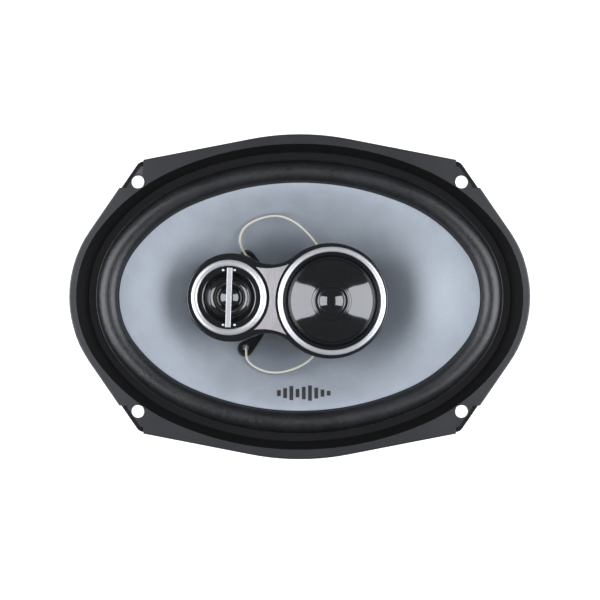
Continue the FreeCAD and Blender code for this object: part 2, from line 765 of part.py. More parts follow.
def lead_pads():
    """Blanks of the two pads on the cone, their eyelets, and the layer that shapes the pads."""
    layer = cone_layer(0, pad_thickness)
    pads = []
    eyelets = []
    for (x, y), (tip_x, tip_y) in ((top_pad_centre, top_pad_tip), (bottom_pad_centre, bottom_pad_tip)):
        centre = Vector(x, y, 0)
        run = Vector(tip_x, tip_y, 0) - centre
        half = math.acos(pad_radius / run.Length)
        heading = math.atan2(run.y, run.x)
        first = centre + Vector(math.cos(heading + half), math.sin(heading + half), 0) * pad_radius
        last = centre + Vector(math.cos(heading - half), math.sin(heading - half), 0) * pad_radius
        back = centre - run * (pad_radius / run.Length)
        tip = centre + run
        wire = Part.Wire([Part.makeLine(tip, first), arc_through(first, back, last),
                          Part.makeLine(last, tip)])
        pads.append(prism(wire, cone_neck_z, cone_edge_z))
        shank = cylinder(eyelet_radius, -eyelet_depth, eyelet_rise)
        top = cylinder(eyelet_flange, eyelet_rise - eyelet_lip, eyelet_rise)
        bottom = cylinder(eyelet_flange, -eyelet_depth, eyelet_lip - eyelet_depth)
        eyelets.append(on_cone(shank.fuse([top, bottom]), x, y))
    return pads, eyelets, layer


def cone_height(x, y):
    """Height of the cone's front face over a point, by halving the range of sections."""
    low, high = 0.0, 1.0
    neck = former_outer
    for _ in range(40):
        share = (low + high) / 2
        a = neck + (cone_length / 2 - neck) * share
        b = neck + (cone_width / 2 - neck) * share
        if (x / a) ** 2 + (y / b) ** 2 > 1:
            low = share
        else:
            high = share
    rise = 1 - (1 - low) ** cone_flare
    return cone_neck_z + (cone_edge_z - cone_neck_z) * rise


def cone_normal(x, y):
    """Direction square to the cone's front face over a point."""
    step = 0.5
    slope_x = (cone_height(x + step, y) - cone_height(x - step, y)) / (2 * step)
    slope_y = (cone_height(x, y + step) - cone_height(x, y - step)) / (2 * step)
    normal = Vector(-slope_x, -slope_y, 1)
    normal.normalize()
    return normal


def on_cone(shape, x, y):
    """Stand a shape that was made about the origin on the cone's front face at a point."""
    shape.Placement = FreeCAD.Placement(Vector(x, y, cone_height(x, y)),
                                        FreeCAD.Rotation(UP, cone_normal(x, y)))
    return shape


def off_cone(x, y, distance):
    """Point at a distance from the cone's front face, square to it over (x, y)."""
    return Vector(x, y, cone_height(x, y)) + cone_normal(x, y) * distance


def make_mark():
    """Printed mark on the cone: a row of plain bars of uneven height, like a level meter."""
    layer = cone_layer(0, mark_thickness)
    x, y = mark_centre
    start = x - mark_pitch * (len(mark_heights) - 1) / 2
    bars = []
    for index, height in enumerate(mark_heights):
        middle = start + mark_pitch * index
        bar = box(middle - mark_bar_width / 2, middle + mark_bar_width / 2,
                  y - height / 2, y + height / 2, cone_neck_z, 0)
        bars.extend(bar.common(layer).Solids)
    return Part.makeCompound(bars)


# ---------------------------------------------------------------- pod
def on_pod(shape):
    """Place a shape made along the pod's own long line."""
    shape.rotate(ORIGIN, UP, pod_turn)
    shape.translate(Vector(0, pod_shift, 0))
    return shape


def pod_outline(inset=0.0):
    """Two lobes joined by concave sides, moved inwards by inset."""
    small = small_lobe_radius - inset
    large = large_lobe_radius - inset
    waist = waist_radius + inset
    span = large_lobe_x - small_lobe_x
    along = (span ** 2 + (small + waist) ** 2 - (large + waist) ** 2) / (2 * span)
    across = math.sqrt((small + waist) ** 2 - along ** 2)
    small_centre = Vector(small_lobe_x, 0, 0)
    large_centre = Vector(large_lobe_x, 0, 0)
    waist_centre = small_centre + Vector(along, across, 0)
    on_small = small_centre + (waist_centre - small_centre) * (small / (small + waist))
    on_large = large_centre + (waist_centre - large_centre) * (large / (large + waist))
    narrow = waist_centre - Vector(0, waist, 0)

    def other(point):
        return Vector(point.x, -point.y, point.z)

    return Part.Wire([
        arc_through(other(on_small), small_centre - Vector(small, 0, 0), on_small),
        arc_through(on_small, narrow, on_large),
        arc_through(on_large, large_centre + Vector(large, 0, 0), other(on_large)),
        arc_through(other(on_large), other(narrow), other(on_small))])


def pod_screw_places():
    """Screws through the pod's lid, each into a boss on the pod's wall."""
    inset = pod_wall + pod_boss_radius - pod_boss_overlap
    large_centre = Vector(large_lobe_x, 0, 0)
    return [Vector(small_lobe_x - small_lobe_radius + inset, 0, 0),
            large_centre + polar(large_lobe_radius - inset, pod_screw_angle),
            large_centre + polar(large_lobe_radius - inset, -pod_screw_angle)]


def plate_outline(inset=0.0):
    """Centre plate: concave about both drivers and along both long sides."""
    def corner(centre_x, radius, angle):
        return Vector(centre_x, 0, 0) + polar(radius, angle)
    left_radius = plate_left_radius + inset
    right_radius = plate_right_radius + inset
    ease = plate_corner_ease * inset
    left = corner(tweeter_x, left_radius, plate_left_angle - ease)
    right = corner(midrange_x, right_radius, 180 - plate_right_angle + ease)
    middle = (left + right) * 0.5 - Vector(0, plate_waist, 0)

    def other(point):
        return Vector(point.x, -point.y, point.z)

    return Part.Wire([
        arc_through(left, middle, right),
        arc_through(right, Vector(midrange_x - right_radius, 0, 0), other(right)),
        arc_through(other(right), other(middle), other(left)),
        arc_through(other(left), Vector(tweeter_x + left_radius, 0, 0), left)])


def make_housing():
    """Pod's outer shell, open at the back, with a seat for each driver and its trim ring."""
    shell = prism(pod_outline(), pod_back_z, pod_front_z)
    rim = [edge for edge in shell.Edges
           if edge.BoundBox.ZLength < 1e-6 and abs(edge.BoundBox.ZMin - pod_front_z) < 1e-6]
    shell = shell.makeFillet(pod_edge_round, rim)
    shell = shell.cut(prism(pod_outline(pod_wall), pod_back_z - through, deck_z))
    inside = prism(pod_outline(pod_wall / 2), lid_top_z, deck_z)
    boss_top = lid_top_z + pod_boss_height
    for place in pod_screw_places():
        boss = cylinder(pod_boss_radius, lid_top_z, boss_top, place.x, place.y)
        shell = shell.fuse(boss.common(inside))
        shell = shell.cut(cylinder(pod_screw_radius + fit_gap / 2, pod_back_z - through,
                                   boss_top - pod_screw_room, place.x, place.y))
    for x, hole, ring in ((tweeter_x, tweeter_hole_radius, tweeter_ring_outer),
                          (midrange_x, midrange_hole_radius, midrange_ring_outer)):
        shell = shell.cut(cylinder(hole, deck_z - 1, pod_front_z + through, x))
        shell = shell.cut(cylinder(ring + fit_gap, trim_z, pod_front_z + through, x))
    return shell.cut(prism(plate_outline(), pod_front_z - plate_thickness / 2, pod_front_z + through))


def make_lid():
    """Lid across the pod's back, set inside its wall."""
    lid = prism(pod_outline(pod_wall + fit_gap), pod_back_z, lid_top_z)
    for place in pod_screw_places():
        hole = cylinder(pod_screw_radius + fit_gap / 2, pod_back_z - 1, lid_top_z + 1, place.x, place.y)
        lid = lid.cut(hole)
    return lid


def make_pod_screws():
    """Three pan-head screws with cross recesses."""
    screws = []
    shank_top = lid_top_z + pod_boss_height - 2 * pod_screw_room
    for place in pod_screw_places():
        low = pod_back_z - pod_screw_head_height
        head = cylinder(pod_screw_head_radius, low, pod_back_z, place.x, place.y)
        shank = cylinder(pod_screw_radius, pod_back_z, shank_top, place.x, place.y)
        screw = head.fuse(shank)
        for half_x, half_y in ((cross_reach, cross_half_width), (cross_half_width, cross_reach)):
            screw = screw.cut(box(place.x - half_x, place.x + half_x, place.y - half_y,
                                  place.y + half_y, low - 1, low + cross_depth))
        screws.append(screw)
    return Part.makeCompound(screws)


def trim_ring(outer, inner, x):
    """Silver trim ring with a rounded outer edge."""
    top = trim_z + trim_height
    ring = tube(outer, inner, trim_z, top, x)
    rims = [edge for edge in ring.Edges
            if edge.BoundBox.ZLength < 1e-6 and abs(edge.BoundBox.ZMin - top) < 1e-6]
    return ring.makeFillet(trim_round, rims)


def make_tweeter():
    """Tweeter: trim ring, bowl, bar, dome with its coil, and the motor behind it."""
    x = tweeter_x
    seat = tweeter_cup_top_z
    throat = tweeter_throat_radius
    throat_z = seat + tweeter_throat_height
    bowl = turned([(tweeter_face_radius, trim_z), (tweeter_bowl_radius, trim_z),
                   (tweeter_bowl_radius - tweeter_lip, trim_z - tweeter_lip_drop),
                   (throat + tweeter_throat_lip, throat_z + tweeter_throat_bevel),
                   (throat, throat_z), (throat, seat), (throat + tweeter_foot_width, seat),
                   (tweeter_bowl_radius, face_back_z), (tweeter_face_radius, face_back_z)], x)
    bar = box(x - tweeter_bar_width / 2, x + tweeter_bar_width / 2, -tweeter_bar_length / 2,
              tweeter_bar_length / 2, trim_z, trim_z + tweeter_bar_height)
    bar_top = trim_z + tweeter_bar_height
    bar_edges = [edge for edge in bar.Edges
                 if edge.BoundBox.ZLength < 1e-6 and abs(edge.BoundBox.ZMin - bar_top) < 1e-6]
    bar = bar.makeFillet(tweeter_bar_round, bar_edges)
    bar = bar.cut(cylinder(tweeter_bar_pin_radius, bar_top - tweeter_bar_pin_depth, bar_top + 1, x))
    dome_z = seat + tweeter_dome_lift
    dome = shell_cap(tweeter_dome_radius, dome_z, tweeter_dome_height, dome_wall, x)
    coil_outer = tweeter_coil_radius + tweeter_coil_wall
    coil = tube(coil_outer, tweeter_coil_radius, dome_z - tweeter_coil_length, dome_z, x)
    driver_motor("tweeter", x, tweeter_coil_radius - tweeter_gap, coil_outer + tweeter_gap,
                 tweeter_cup_wall, seat)
    save("tweeter_ring", on_pod(trim_ring(tweeter_ring_outer, tweeter_ring_inner, x)))
    save("tweeter_face", on_pod(bowl))
    save("tweeter_bar", on_pod(bar))
    save("tweeter_dome", on_pod(dome))
    save("tweeter_coil", on_pod(coil))


def driver_motor(name, x, pole, bore, wall, top_z):
    """Steel cup, magnet disc and pole disc of one small driver."""
    floor_top = cup_base_z + driver_cup_floor
    pole_top = top_z - driver_pole_drop
    disc_base = pole_top - driver_pole_height
    outer = bore + wall
    cup = turned([(0, cup_base_z), (outer - driver_cup_chamfer, cup_base_z),
                  (outer, cup_base_z + driver_cup_chamfer), (outer, top_z), (bore, top_z),
                  (bore, floor_top), (0, floor_top)], x)
    save(name + "_cup", on_pod(cup))
    save(name + "_magnet", on_pod(cylinder(pole - fit_gap, floor_top, disc_base, x)))
    save(name + "_pole_disc", on_pod(cylinder(pole, disc_base, pole_top, x)))


def midrange_frame_profile(bore, cup_outer):
    """Section of the frame that carries the midrange's surround and clips round its cup."""
    seat = midrange_cup_top_z
    rim = midrange_seat_radius
    seat_top = trim_z - midrange_seat_drop
    inner = rim - midrange_seat_width
    foot_top = seat + midrange_foot_height
    foot_low = seat - midrange_foot_drop
    grip = cup_outer + fit_gap / 2
    mouth = bore + midrange_mouth_gap
    return [(midrange_frame_radius, trim_z), (midrange_ring_inner - fit_gap, trim_z),
            (rim + midrange_mouth_gap, seat_top + midrange_seat_bevel), (rim, seat_top),
            (inner, seat_top), (inner, seat_top - midrange_basket_inner_drop),
            (cup_outer + midrange_foot_inset, foot_top), (mouth, foot_top), (mouth, seat),
            (grip, seat), (grip, foot_low), (cup_outer + midrange_foot_width, foot_low),
            (rim, seat_top - midrange_basket_outer_drop), (midrange_frame_radius, face_back_z)]


def midrange_roll_profile():
    """Section of the midrange's small half-roll surround."""
    base = trim_z - midrange_seat_drop
    edge = midrange_cone_radius
    crown = edge + midrange_roll_width / 2
    shoulder = midrange_roll_width / 2 - midrange_roll_shoulder
    high = base + midrange_roll_height
    side = base + midrange_roll_height - midrange_roll_shoulder_drop
    outer = midrange_seat_radius - fit_gap
    flat = base + midrange_roll_flat
    return [(edge + glue_gap, base), (crown - shoulder, side), (crown, high), (crown + shoulder, side),
            (outer, flat), (outer, base), (edge + midrange_roll_inner_end, base),
            (crown, high - midrange_roll_wall), (edge + midrange_roll_inner_start, base)]


def make_midrange():
    """Midrange: trim ring, frame, surround, cone with dust cap and coil, and its motor."""
    x = midrange_x
    seat = midrange_cup_top_z
    coil_outer = midrange_coil_radius + midrange_coil_wall
    bore = coil_outer + midrange_gap
    frame = turned(midrange_frame_profile(bore, bore + midrange_cup_wall), x)
    edge = midrange_cone_radius
    edge_z = trim_z - midrange_seat_drop
    collar = midrange_collar_radius
    collar_z = seat + midrange_collar_lift
    glue_z = collar_z + midrange_collar_glue
    cone = turned([(edge, edge_z), (collar, collar_z),
                   (collar - midrange_collar_width, collar_z + midrange_collar_rise),
                   (coil_outer, glue_z), (coil_outer, glue_z - midrange_cone_wall),
                   (collar, collar_z - midrange_cone_wall), (edge, edge_z - midrange_cone_wall)], x)
    dome = shell_cap(midrange_cap_radius, glue_z + midrange_cap_sink, midrange_cap_height, dome_wall, x)
    coil = tube(coil_outer, midrange_coil_radius, seat - midrange_coil_depth, glue_z, x)
    driver_motor("midrange", x, midrange_coil_radius - midrange_gap, bore, midrange_cup_wall, seat)
    save("midrange_ring", on_pod(trim_ring(midrange_ring_outer, midrange_ring_inner, x)))
    save("midrange_frame", on_pod(frame))
    save("midrange_surround", on_pod(turned(midrange_roll_profile(), x)))
    save("midrange_cone", on_pod(cone))
    save("midrange_dust_cap", on_pod(dome))
    save("midrange_coil", on_pod(coil))


def make_pod():
    """Housing, lid, screws, centre plate and the two capacitors inside."""
    save("pod_housing", on_pod(make_housing()))
    save("pod_lid", on_pod(make_lid()))
    save("pod_screws", on_pod(make_pod_screws()))
    plate = prism(plate_outline(fit_gap), pod_front_z - plate_thickness / 2,
                  pod_front_z + plate_thickness / 2)
    save("centre_plate", on_pod(plate))
    for name, x in (("tweeter_capacitor", tweeter_capacitor_x),
                    ("midrange_capacitor", tweeter_capacitor_x + capacitor_pitch)):
        middle_z = lid_top_z + capacitor_radius
        can = Part.makeCylinder(capacitor_radius, capacitor_length,
                                Vector(x, -capacitor_length / 2, middle_z), Vector(0, 1, 0))
        ends = [edge for edge in can.Edges if edge.BoundBox.YLength < 1e-6]
        save(name, on_pod(can.makeFillet(capacitor_round, ends)))


# ---------------------------------------------------------------- terminals and leads
def lead_hole(side):
    """Cutter for the hole that passes one rear lead, on the terminal seat."""
    return cylinder(lead_hole_radius, -terminal_seat_thickness - through, terminal_board_thickness + 1,
                    lead_hole_inset - terminal_board_width / 2, side * lead_hole_side)


def terminal_rivet_hole(side):
    """Cutter for one rivet hole of the terminal board."""
    return cylinder(terminal_rivet_radius + fit_gap / 2, -terminal_seat_thickness - through,
                    terminal_board_thickness + blade_thickness + 1, 0, side * terminal_pitch / 2)


def make_blade(y, width):
    """Terminal blade: a foot on the board and an upright tab with a small eye."""
    low = terminal_board_thickness
    top = low + blade_thickness
    foot = box(-blade_foot / 2, blade_foot / 2, y - width / 2, y + width / 2, low, top)
    tab = box(blade_foot / 2 - blade_thickness, blade_foot / 2, y - width / 2, y + width / 2,
              low, low + blade_length)
    eye = Part.makeCylinder(blade_eye_radius, 2 * through,
                            Vector(0, y, low + blade_length - blade_eye_inset), Vector(1, 0, 0))
    return foot.fuse(tab).removeSplitter().cut(eye)


def make_terminals():
    """Insulating board, its two blades and the two rivets that hold them."""
    high = terminal_board_thickness
    board = box(-terminal_board_width / 2, terminal_board_width / 2, -terminal_board_length / 2,
                terminal_board_length / 2, 0, high)
    upright = [edge for edge in board.Edges if edge.BoundBox.ZLength > high / 2]
    board = board.makeFillet(terminal_board_corner, upright)
    rivets = []
    for side, name, width in ((1, "terminal_positive", blade_width_positive),
                              (-1, "terminal_negative", blade_width_negative)):
        board = board.cut(terminal_rivet_hole(side)).cut(lead_hole(side))
        y = side * terminal_pitch / 2
        save(name, on_terminal_seat(make_blade(y, width).cut(terminal_rivet_hole(side))))
        top = high + blade_thickness
        low = -terminal_seat_thickness
        shank = cylinder(terminal_rivet_radius, low, top, 0, y)
        head = cylinder(terminal_rivet_head, top, top + terminal_rivet_height, 0, y)
        tail = cylinder(terminal_rivet_head, low - terminal_rivet_height, low, 0, y)
        rivets.append(on_terminal_seat(shank.fuse([head, tail])))
    save("terminal_board", on_terminal_seat(board))
    save("terminal_rivets", Part.makeCompound(rivets))


def lead(points):
    """Round lead along straight runs joined by tangent arcs as large as the runs allow."""
    corners = [Vector(*point) for point in points]
    edges = []
    start = corners[0]
    for before, corner, after in zip(corners, corners[1:], corners[2:]):
        incoming = corner - before
        outgoing = after - corner
        setback = 0.45 * min(incoming.Length, outgoing.Length)
        first = corner - incoming * (setback / incoming.Length)
        last = corner + outgoing * (setback / outgoing.Length)
        turn = incoming.getAngle(outgoing)
        radius = setback / math.tan(turn / 2)
        toward = (first + last) * 0.5 - corner
        toward.normalize()
        bend_centre = corner + toward * (radius / math.cos(turn / 2))
        edges.append(Part.makeLine(start, first))
        edges.append(arc_through(first, bend_centre - toward * radius, last))
        start = last
    edges.append(Part.makeLine(start, corners[-1]))
    path = Part.Wire(edges)
    section = Part.Wire([Part.makeCircle(lead_radius, corners[0], corners[1] - corners[0])])
    return path.makePipeShell([section], True, True)


def make_leads():
    """Leads in front of the cone to the pod, and behind the cone from the terminals."""
    for name, (x, y), route in (("front_lead_top", top_pad_centre, front_top_route),
                                ("front_lead_bottom", bottom_pad_centre, front_bottom_route)):
        start = off_cone(x, y, eyelet_rise + lead_stand_off)
        end = Vector(route[-1][0], route[-1][1], pod_back_z)
        save(name, lead([start, start + Vector(0, 0, lead_rise)] + list(route) + [end]))
    for name, (x, y), side in (("rear_lead_positive", top_pad_centre, 1),
                               ("rear_lead_negative", bottom_pad_centre, -1)):
        hole_x = lead_hole_inset - terminal_board_width / 2
        start, inside = [on_terminal_seat(Part.Vertex(hole_x, side * lead_hole_side, depth)).Point
                         for depth in (0, -lead_run)]
        end = off_cone(x, y, -eyelet_depth - lead_stand_off)
        route = [(rear_x, side * rear_y, rear_z) for rear_x, rear_y, rear_z in rear_route]
        save(name, lead([start, inside] + route + [end - Vector(0, 0, lead_run), end]))


os.makedirs("parts", exist_ok=True)
save("basket", make_basket())
make_motor()
make_post()
make_woofer()
make_pod()
make_tweeter()
make_midrange()
make_terminals()
make_leads()
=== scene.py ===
"""Looks of an oval coaxial car speaker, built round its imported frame.

Shapes are worked out in millimetres and turned into metres when their mesh is made. The origin is on
the speaker's axis in the mounting plane, +Z points to the listener and +X runs along the long side.
"""

import logging
import math
from collections.abc import Callable
from dataclasses import dataclass, field
from enum import Enum

import bmesh
import bpy
from mathutils import Matrix, Vector


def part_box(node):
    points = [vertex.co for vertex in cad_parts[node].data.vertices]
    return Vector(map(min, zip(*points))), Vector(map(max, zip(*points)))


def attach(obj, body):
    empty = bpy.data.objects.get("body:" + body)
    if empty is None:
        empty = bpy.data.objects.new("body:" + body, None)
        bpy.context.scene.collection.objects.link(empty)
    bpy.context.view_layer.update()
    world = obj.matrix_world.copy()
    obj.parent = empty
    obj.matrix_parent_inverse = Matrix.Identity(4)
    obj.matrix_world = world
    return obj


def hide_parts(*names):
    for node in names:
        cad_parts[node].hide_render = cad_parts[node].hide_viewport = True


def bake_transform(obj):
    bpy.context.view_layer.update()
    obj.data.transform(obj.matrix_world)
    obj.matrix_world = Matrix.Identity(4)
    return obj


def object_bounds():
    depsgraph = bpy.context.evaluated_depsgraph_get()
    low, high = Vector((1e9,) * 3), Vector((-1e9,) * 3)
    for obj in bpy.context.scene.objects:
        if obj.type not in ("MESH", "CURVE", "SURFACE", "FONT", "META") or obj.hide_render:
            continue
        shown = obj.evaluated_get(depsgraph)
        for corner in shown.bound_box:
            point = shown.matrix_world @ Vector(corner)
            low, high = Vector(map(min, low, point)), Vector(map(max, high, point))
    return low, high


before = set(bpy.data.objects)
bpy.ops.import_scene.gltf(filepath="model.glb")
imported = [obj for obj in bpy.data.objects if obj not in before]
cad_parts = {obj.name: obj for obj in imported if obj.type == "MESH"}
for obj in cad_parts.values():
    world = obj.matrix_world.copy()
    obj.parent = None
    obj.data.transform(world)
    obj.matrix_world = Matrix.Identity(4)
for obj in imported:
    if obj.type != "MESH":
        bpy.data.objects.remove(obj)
cad_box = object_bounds()

LOG = logging.getLogger("speaker")
MM = 0.001
MOST = 0.45
ON_AXIS = 1e-6
PAD_TOP = (-27.6, 20.6)
PAD_BOTTOM = (-28.4, -27.2)
Profile = list[tuple[float, float]]
Ring = list[Vector]
Colour = tuple[float, float, float]
UP = Vector((0.0, 0.0, 1.0))


# ---------------------------------------------------------------- finishes
class Grain(Enum):
    """Kinds of fine surface pattern."""

    POWDER = "speckled powder coat"
    FOAM = "open-celled foam"
    HAIRLINE = "straight brushed lines"
    TURNED = "fine rings left by turning"
    WEAVE = "plain woven cloth"
    FLAKE = "metallic flakes in paint"
    SINTER = "pressed and fired grain"
    GLOSS = "polished plastic"
    STRAND = "soft mottling of drawn wire"


@dataclass(frozen=True)
class Finish:
    """One surface finish and the nodes that draw it.

    Sizes are in millimetres. The two tones are linear colours that the grain mixes.
    """

    slot: str
    light: Colour
    dark: Colour
    roughness: float
    grain: Grain
    size: float
    depth: float = 0.02
    spread: float = 0.08
    metallic: float = 0.0
    specular: float = 0.5
    coat: float = 0.0
    coat_roughness: float = 0.08
    mottle: float = 0.25
    mottle_size: float = 22.0
    sheen: float = 0.0

    def material(self, centre: Vector = Vector((0, 0, 0)), turn: float = 0.0) -> bpy.types.Material:
        """Build the material once for each centre that its pattern turns about.

        Args:
            centre: Middle of the pattern, in millimetres.
            turn: Turn of the pattern about the vertical, in radians.

        Returns:
            The node material.
        """
        name = f"{self.slot}_{self.grain.name}_{centre.x:.0f}_{centre.y:.0f}_{math.degrees(turn):.0f}"
        found = bpy.data.materials.get(name)
        if found:
            return found
        material = bpy.data.materials.new(name)
        material.use_nodes = True
        bench = NodeBench(material.node_tree)
        shader = bench.tree.nodes["Principled BSDF"]
        spot = bench.add("ShaderNodeTexCoord").outputs["Object"]
        place = bench.add("ShaderNodeMapping", {"Vector": spot, "Location": centre * MM,
                                                "Rotation": (0.0, 0.0, turn)})
        place.vector_type = "TEXTURE"
        pattern = self.pattern(bench, place.outputs[0])
        cloud = bench.noise(place.outputs[0], self.mottle_size, 3.0)
        grain = bench.math("MULTIPLY", pattern, 1 - self.mottle)
        share = bench.math("MULTIPLY_ADD", cloud, self.mottle, grain)
        smoothest, roughest = 0.02, 1.0
        tone = bench.mix(share, self.dark, self.light)
        rough = bench.add("ShaderNodeMapRange", {
            "Value": share, "To Min": max(smoothest, self.roughness - self.spread),
            "To Max": min(roughest, self.roughness + self.spread)})
        bump = bench.add("ShaderNodeBump", {"Height": pattern, "Strength": 1.0,
                                            "Distance": self.depth * MM})
        bench.fill(shader, {
            "Base Color": tone, "Roughness": rough.outputs["Result"], "Normal": bump.outputs["Normal"],
            "Metallic": self.metallic, "Specular IOR Level": self.specular, "Coat Weight": self.coat,
            "Coat Roughness": self.coat_roughness, "Sheen Weight": self.sheen})
        return material

    def pattern(self, bench: "NodeBench", place: bpy.types.NodeSocket) -> bpy.types.NodeSocket:
        """Draw the grain as a value from 0 to 1.

        Args:
            bench: The node bench of the material.
            place: Position on the object, in metres.

        Returns:
            The socket that carries the grain.
        """
        if self.grain is Grain.HAIRLINE:
            drawn_out = 30.0
            return bench.noise(bench.stretched(place, (drawn_out, 1.0, drawn_out)), self.size, 5.0)
        if self.grain is Grain.STRAND:
            return bench.noise(place, self.size, 3.0)
        if self.grain is Grain.TURNED:
            return bench.noise(bench.polar(place), self.size, 4.0)
        if self.grain is Grain.WEAVE:
            return bench.weave(place, self.size)
        if self.grain in (Grain.FOAM, Grain.FLAKE, Grain.SINTER):
            cells = bench.add("ShaderNodeTexVoronoi", {"Vector": place, "Scale": 1.0 / (self.size * MM)})
            value = cells.outputs["Distance"]
            if self.grain is Grain.FLAKE:
                split = bench.add("ShaderNodeSeparateColor", {"Color": cells.outputs["Color"]})
                value = split.outputs["Red"]
            soft = 0.4
            return bench.math("MULTIPLY_ADD", bench.noise(place, self.size * 3, 4.0), soft,
                              bench.math("MULTIPLY", value, 1 - soft))
        return bench.noise(place, self.size, 5.0)


@dataclass
class NodeBench:
    """Short ways to add and join nodes of one tree."""

    tree: bpy.types.NodeTree

    def add(self, kind: str, inputs: dict | None = None) -> bpy.types.Node:
        """Add a node.

        Args:
            kind: Type name of the node.
            inputs: Sockets or plain values by input name or number.

        Returns:
            The new node.
        """
        node = self.tree.nodes.new(kind)
        self.fill(node, inputs or {})
        return node

    def fill(self, node: bpy.types.Node, inputs: dict) -> None:
        """Join sockets to a node's inputs, or set them to plain values, by name or number."""
        for name, value in inputs.items():
            if isinstance(value, bpy.types.NodeSocket):
                self.tree.links.new(value, node.inputs[name])
            else:
                node.inputs[name].default_value = value

    def link(self, source: bpy.types.NodeSocket, target: bpy.types.NodeSocket) -> None:
        """Join two sockets."""
        self.tree.links.new(source, target)

    def math(self, operation: str, *values: float | bpy.types.NodeSocket) -> bpy.types.NodeSocket:
        """Add a math node.

        Args:
            operation: Type name of the sum.
            values: Its operands in order.

        Returns:
            The result's socket.
        """
        node = self.tree.nodes.new("ShaderNodeMath")
        node.operation = operation
        self.fill(node, dict(enumerate(values)))
        return node.outputs[0]

    def noise(self, place: bpy.types.NodeSocket, size: float, detail: float) -> bpy.types.NodeSocket:
        """Add noise whose grains are about size millimetres across."""
        node = self.add("ShaderNodeTexNoise",
                        {"Vector": place, "Scale": 1.0 / (size * MM), "Detail": detail})
        low, high = 0.3, 0.7
        spread = self.add("ShaderNodeMapRange", {"Value": node.outputs[0], "From Min": low,
                                                 "From Max": high})
        return spread.outputs["Result"]

    def stretched(self, place: bpy.types.NodeSocket, lengths: tuple) -> bpy.types.NodeSocket:
        """Shrink the position along each axis, which draws the grain out by that much."""
        node = self.add("ShaderNodeVectorMath", {0: place, 1: tuple(1.0 / length for length in lengths)})
        node.operation = "MULTIPLY"
        return node.outputs[0]

    def polar(self, place: bpy.types.NodeSocket) -> bpy.types.NodeSocket:
        """Turn a position into distance from the axis and height, with a little of the angle."""
        drift = 0.4 * MM
        split = self.add("ShaderNodeSeparateXYZ", {0: place})
        flat = self.add("ShaderNodeCombineXYZ", {0: split.outputs[0], 1: split.outputs[1]})
        reach = self.add("ShaderNodeVectorMath", {0: flat.outputs[0]})
        reach.operation = "LENGTH"
        angle = self.math("ARCTAN2", split.outputs[1], split.outputs[0])
        around = self.math("MULTIPLY", self.math("SINE", angle), drift)
        parts = {0: reach.outputs["Value"], 1: around, 2: split.outputs[2]}
        return self.add("ShaderNodeCombineXYZ", parts).outputs[0]

    def weave(self, place: bpy.types.NodeSocket, size: float) -> bpy.types.NodeSocket:
        """Draw threads that pass over and under each other, size millimetres apart."""
        split = self.add("ShaderNodeSeparateXYZ", {0: place})
        rate = math.tau / (size * MM)
        across, along = (self.math("SINE", self.math("MULTIPLY", split.outputs[axis], rate))
                         for axis in (0, 1))
        return self.math("MULTIPLY_ADD", self.math("MULTIPLY", across, along), 0.5, 0.5)

    def mix(self, share: bpy.types.NodeSocket, low: Colour, high: Colour) -> bpy.types.NodeSocket:
        """Mix two colours by a share from 0 to 1."""
        node = self.tree.nodes.new("ShaderNodeMix")
        node.data_type = "RGBA"
        self.fill(node, {0: share, 6: (*low, 1.0), 7: (*high, 1.0)})
        return node.outputs[2]


def grey(value: float, blue: float = 0.0) -> Colour:
    """Neutral tone, cooler by a share of blue."""
    return (value * (1 - blue), value, value * (1 + blue))


PAINTED_STEEL = Finish("painted_steel", grey(0.026, 0.08), grey(0.015, 0.08), 0.36, Grain.POWDER, 0.6,
                       depth=0.02, spread=0.06, specular=0.8)
SURROUND_FOAM = Finish("surround_foam", grey(0.017, 0.08), grey(0.003, 0.08), 0.38, Grain.FOAM, 0.65,
                       depth=0.12, spread=0.16, specular=0.85)
# Painted shade: a darker foam finish for the basket's recess, the ears' bent-down outer bands and the
# surround's land, where shade falls.
PAINTED_SHADE_BLACK = Finish("surround_foam", grey(0.009), grey(0.004), 0.66, Grain.SINTER, 0.8, depth=0.06,
                      specular=0.2)
SPIDER_CLOTH = Finish("spider_cloth", (0.42, 0.27, 0.10), (0.22, 0.13, 0.045), 0.8, Grain.WEAVE, 0.9,
                      depth=0.12, sheen=0.2)
CONE_SILVER = Finish("cone_silver", grey(0.56, 0.085), grey(0.45, 0.085), 0.48, Grain.FLAKE, 0.22,
                     depth=0.010, spread=0.06, metallic=0.40, mottle=0.35, mottle_size=9.0)
CONE_PAPER = Finish("cone_paper", grey(0.050), grey(0.022), 0.85, Grain.POWDER, 0.6, depth=0.08)
CONE_PRINT = Finish("cone_print", grey(0.055), grey(0.035), 0.42, Grain.POWDER, 0.3, depth=0.01)
FORMER_FILM = Finish("former_film", (0.16, 0.07, 0.02), (0.10, 0.04, 0.012), 0.35, Grain.GLOSS, 3.0,
                     depth=0.02)
COPPER_WIRE = Finish("copper_wire", (0.72, 0.27, 0.10), (0.50, 0.16, 0.05), 0.28, Grain.STRAND, 0.4,
                     metallic=1.0, depth=0.01)
PLATED_STEEL = Finish("plated_steel", (0.56, 0.56, 0.50), (0.40, 0.41, 0.37), 0.34, Grain.TURNED, 0.5,
                      metallic=1.0, depth=0.006, mottle=0.5)
FERRITE = Finish("ferrite", grey(0.045), grey(0.018), 0.62, Grain.SINTER, 0.9, depth=0.06, spread=0.12)
POD_BLACK = Finish("pod_black", grey(0.013, 0.1), grey(0.008, 0.1), 0.20, Grain.GLOSS, 1.2, depth=0.004,
                   spread=0.05, specular=0.6, coat=0.3)
POST_BLACK = Finish("post_black", grey(0.020), grey(0.010), 0.45, Grain.POWDER, 0.6, depth=0.02)
SILVER_TRIM = Finish("silver_trim", grey(0.88, 0.01), grey(0.76, 0.01), 0.34, Grain.TURNED, 0.16,
                     metallic=0.7, depth=0.002, spread=0.06, mottle=0.3)
SILVER_BAR = Finish("silver_trim", grey(0.90, 0.01), grey(0.80, 0.01), 0.30, Grain.POWDER, 0.3,
                    metallic=0.5, depth=0.003, spread=0.05)
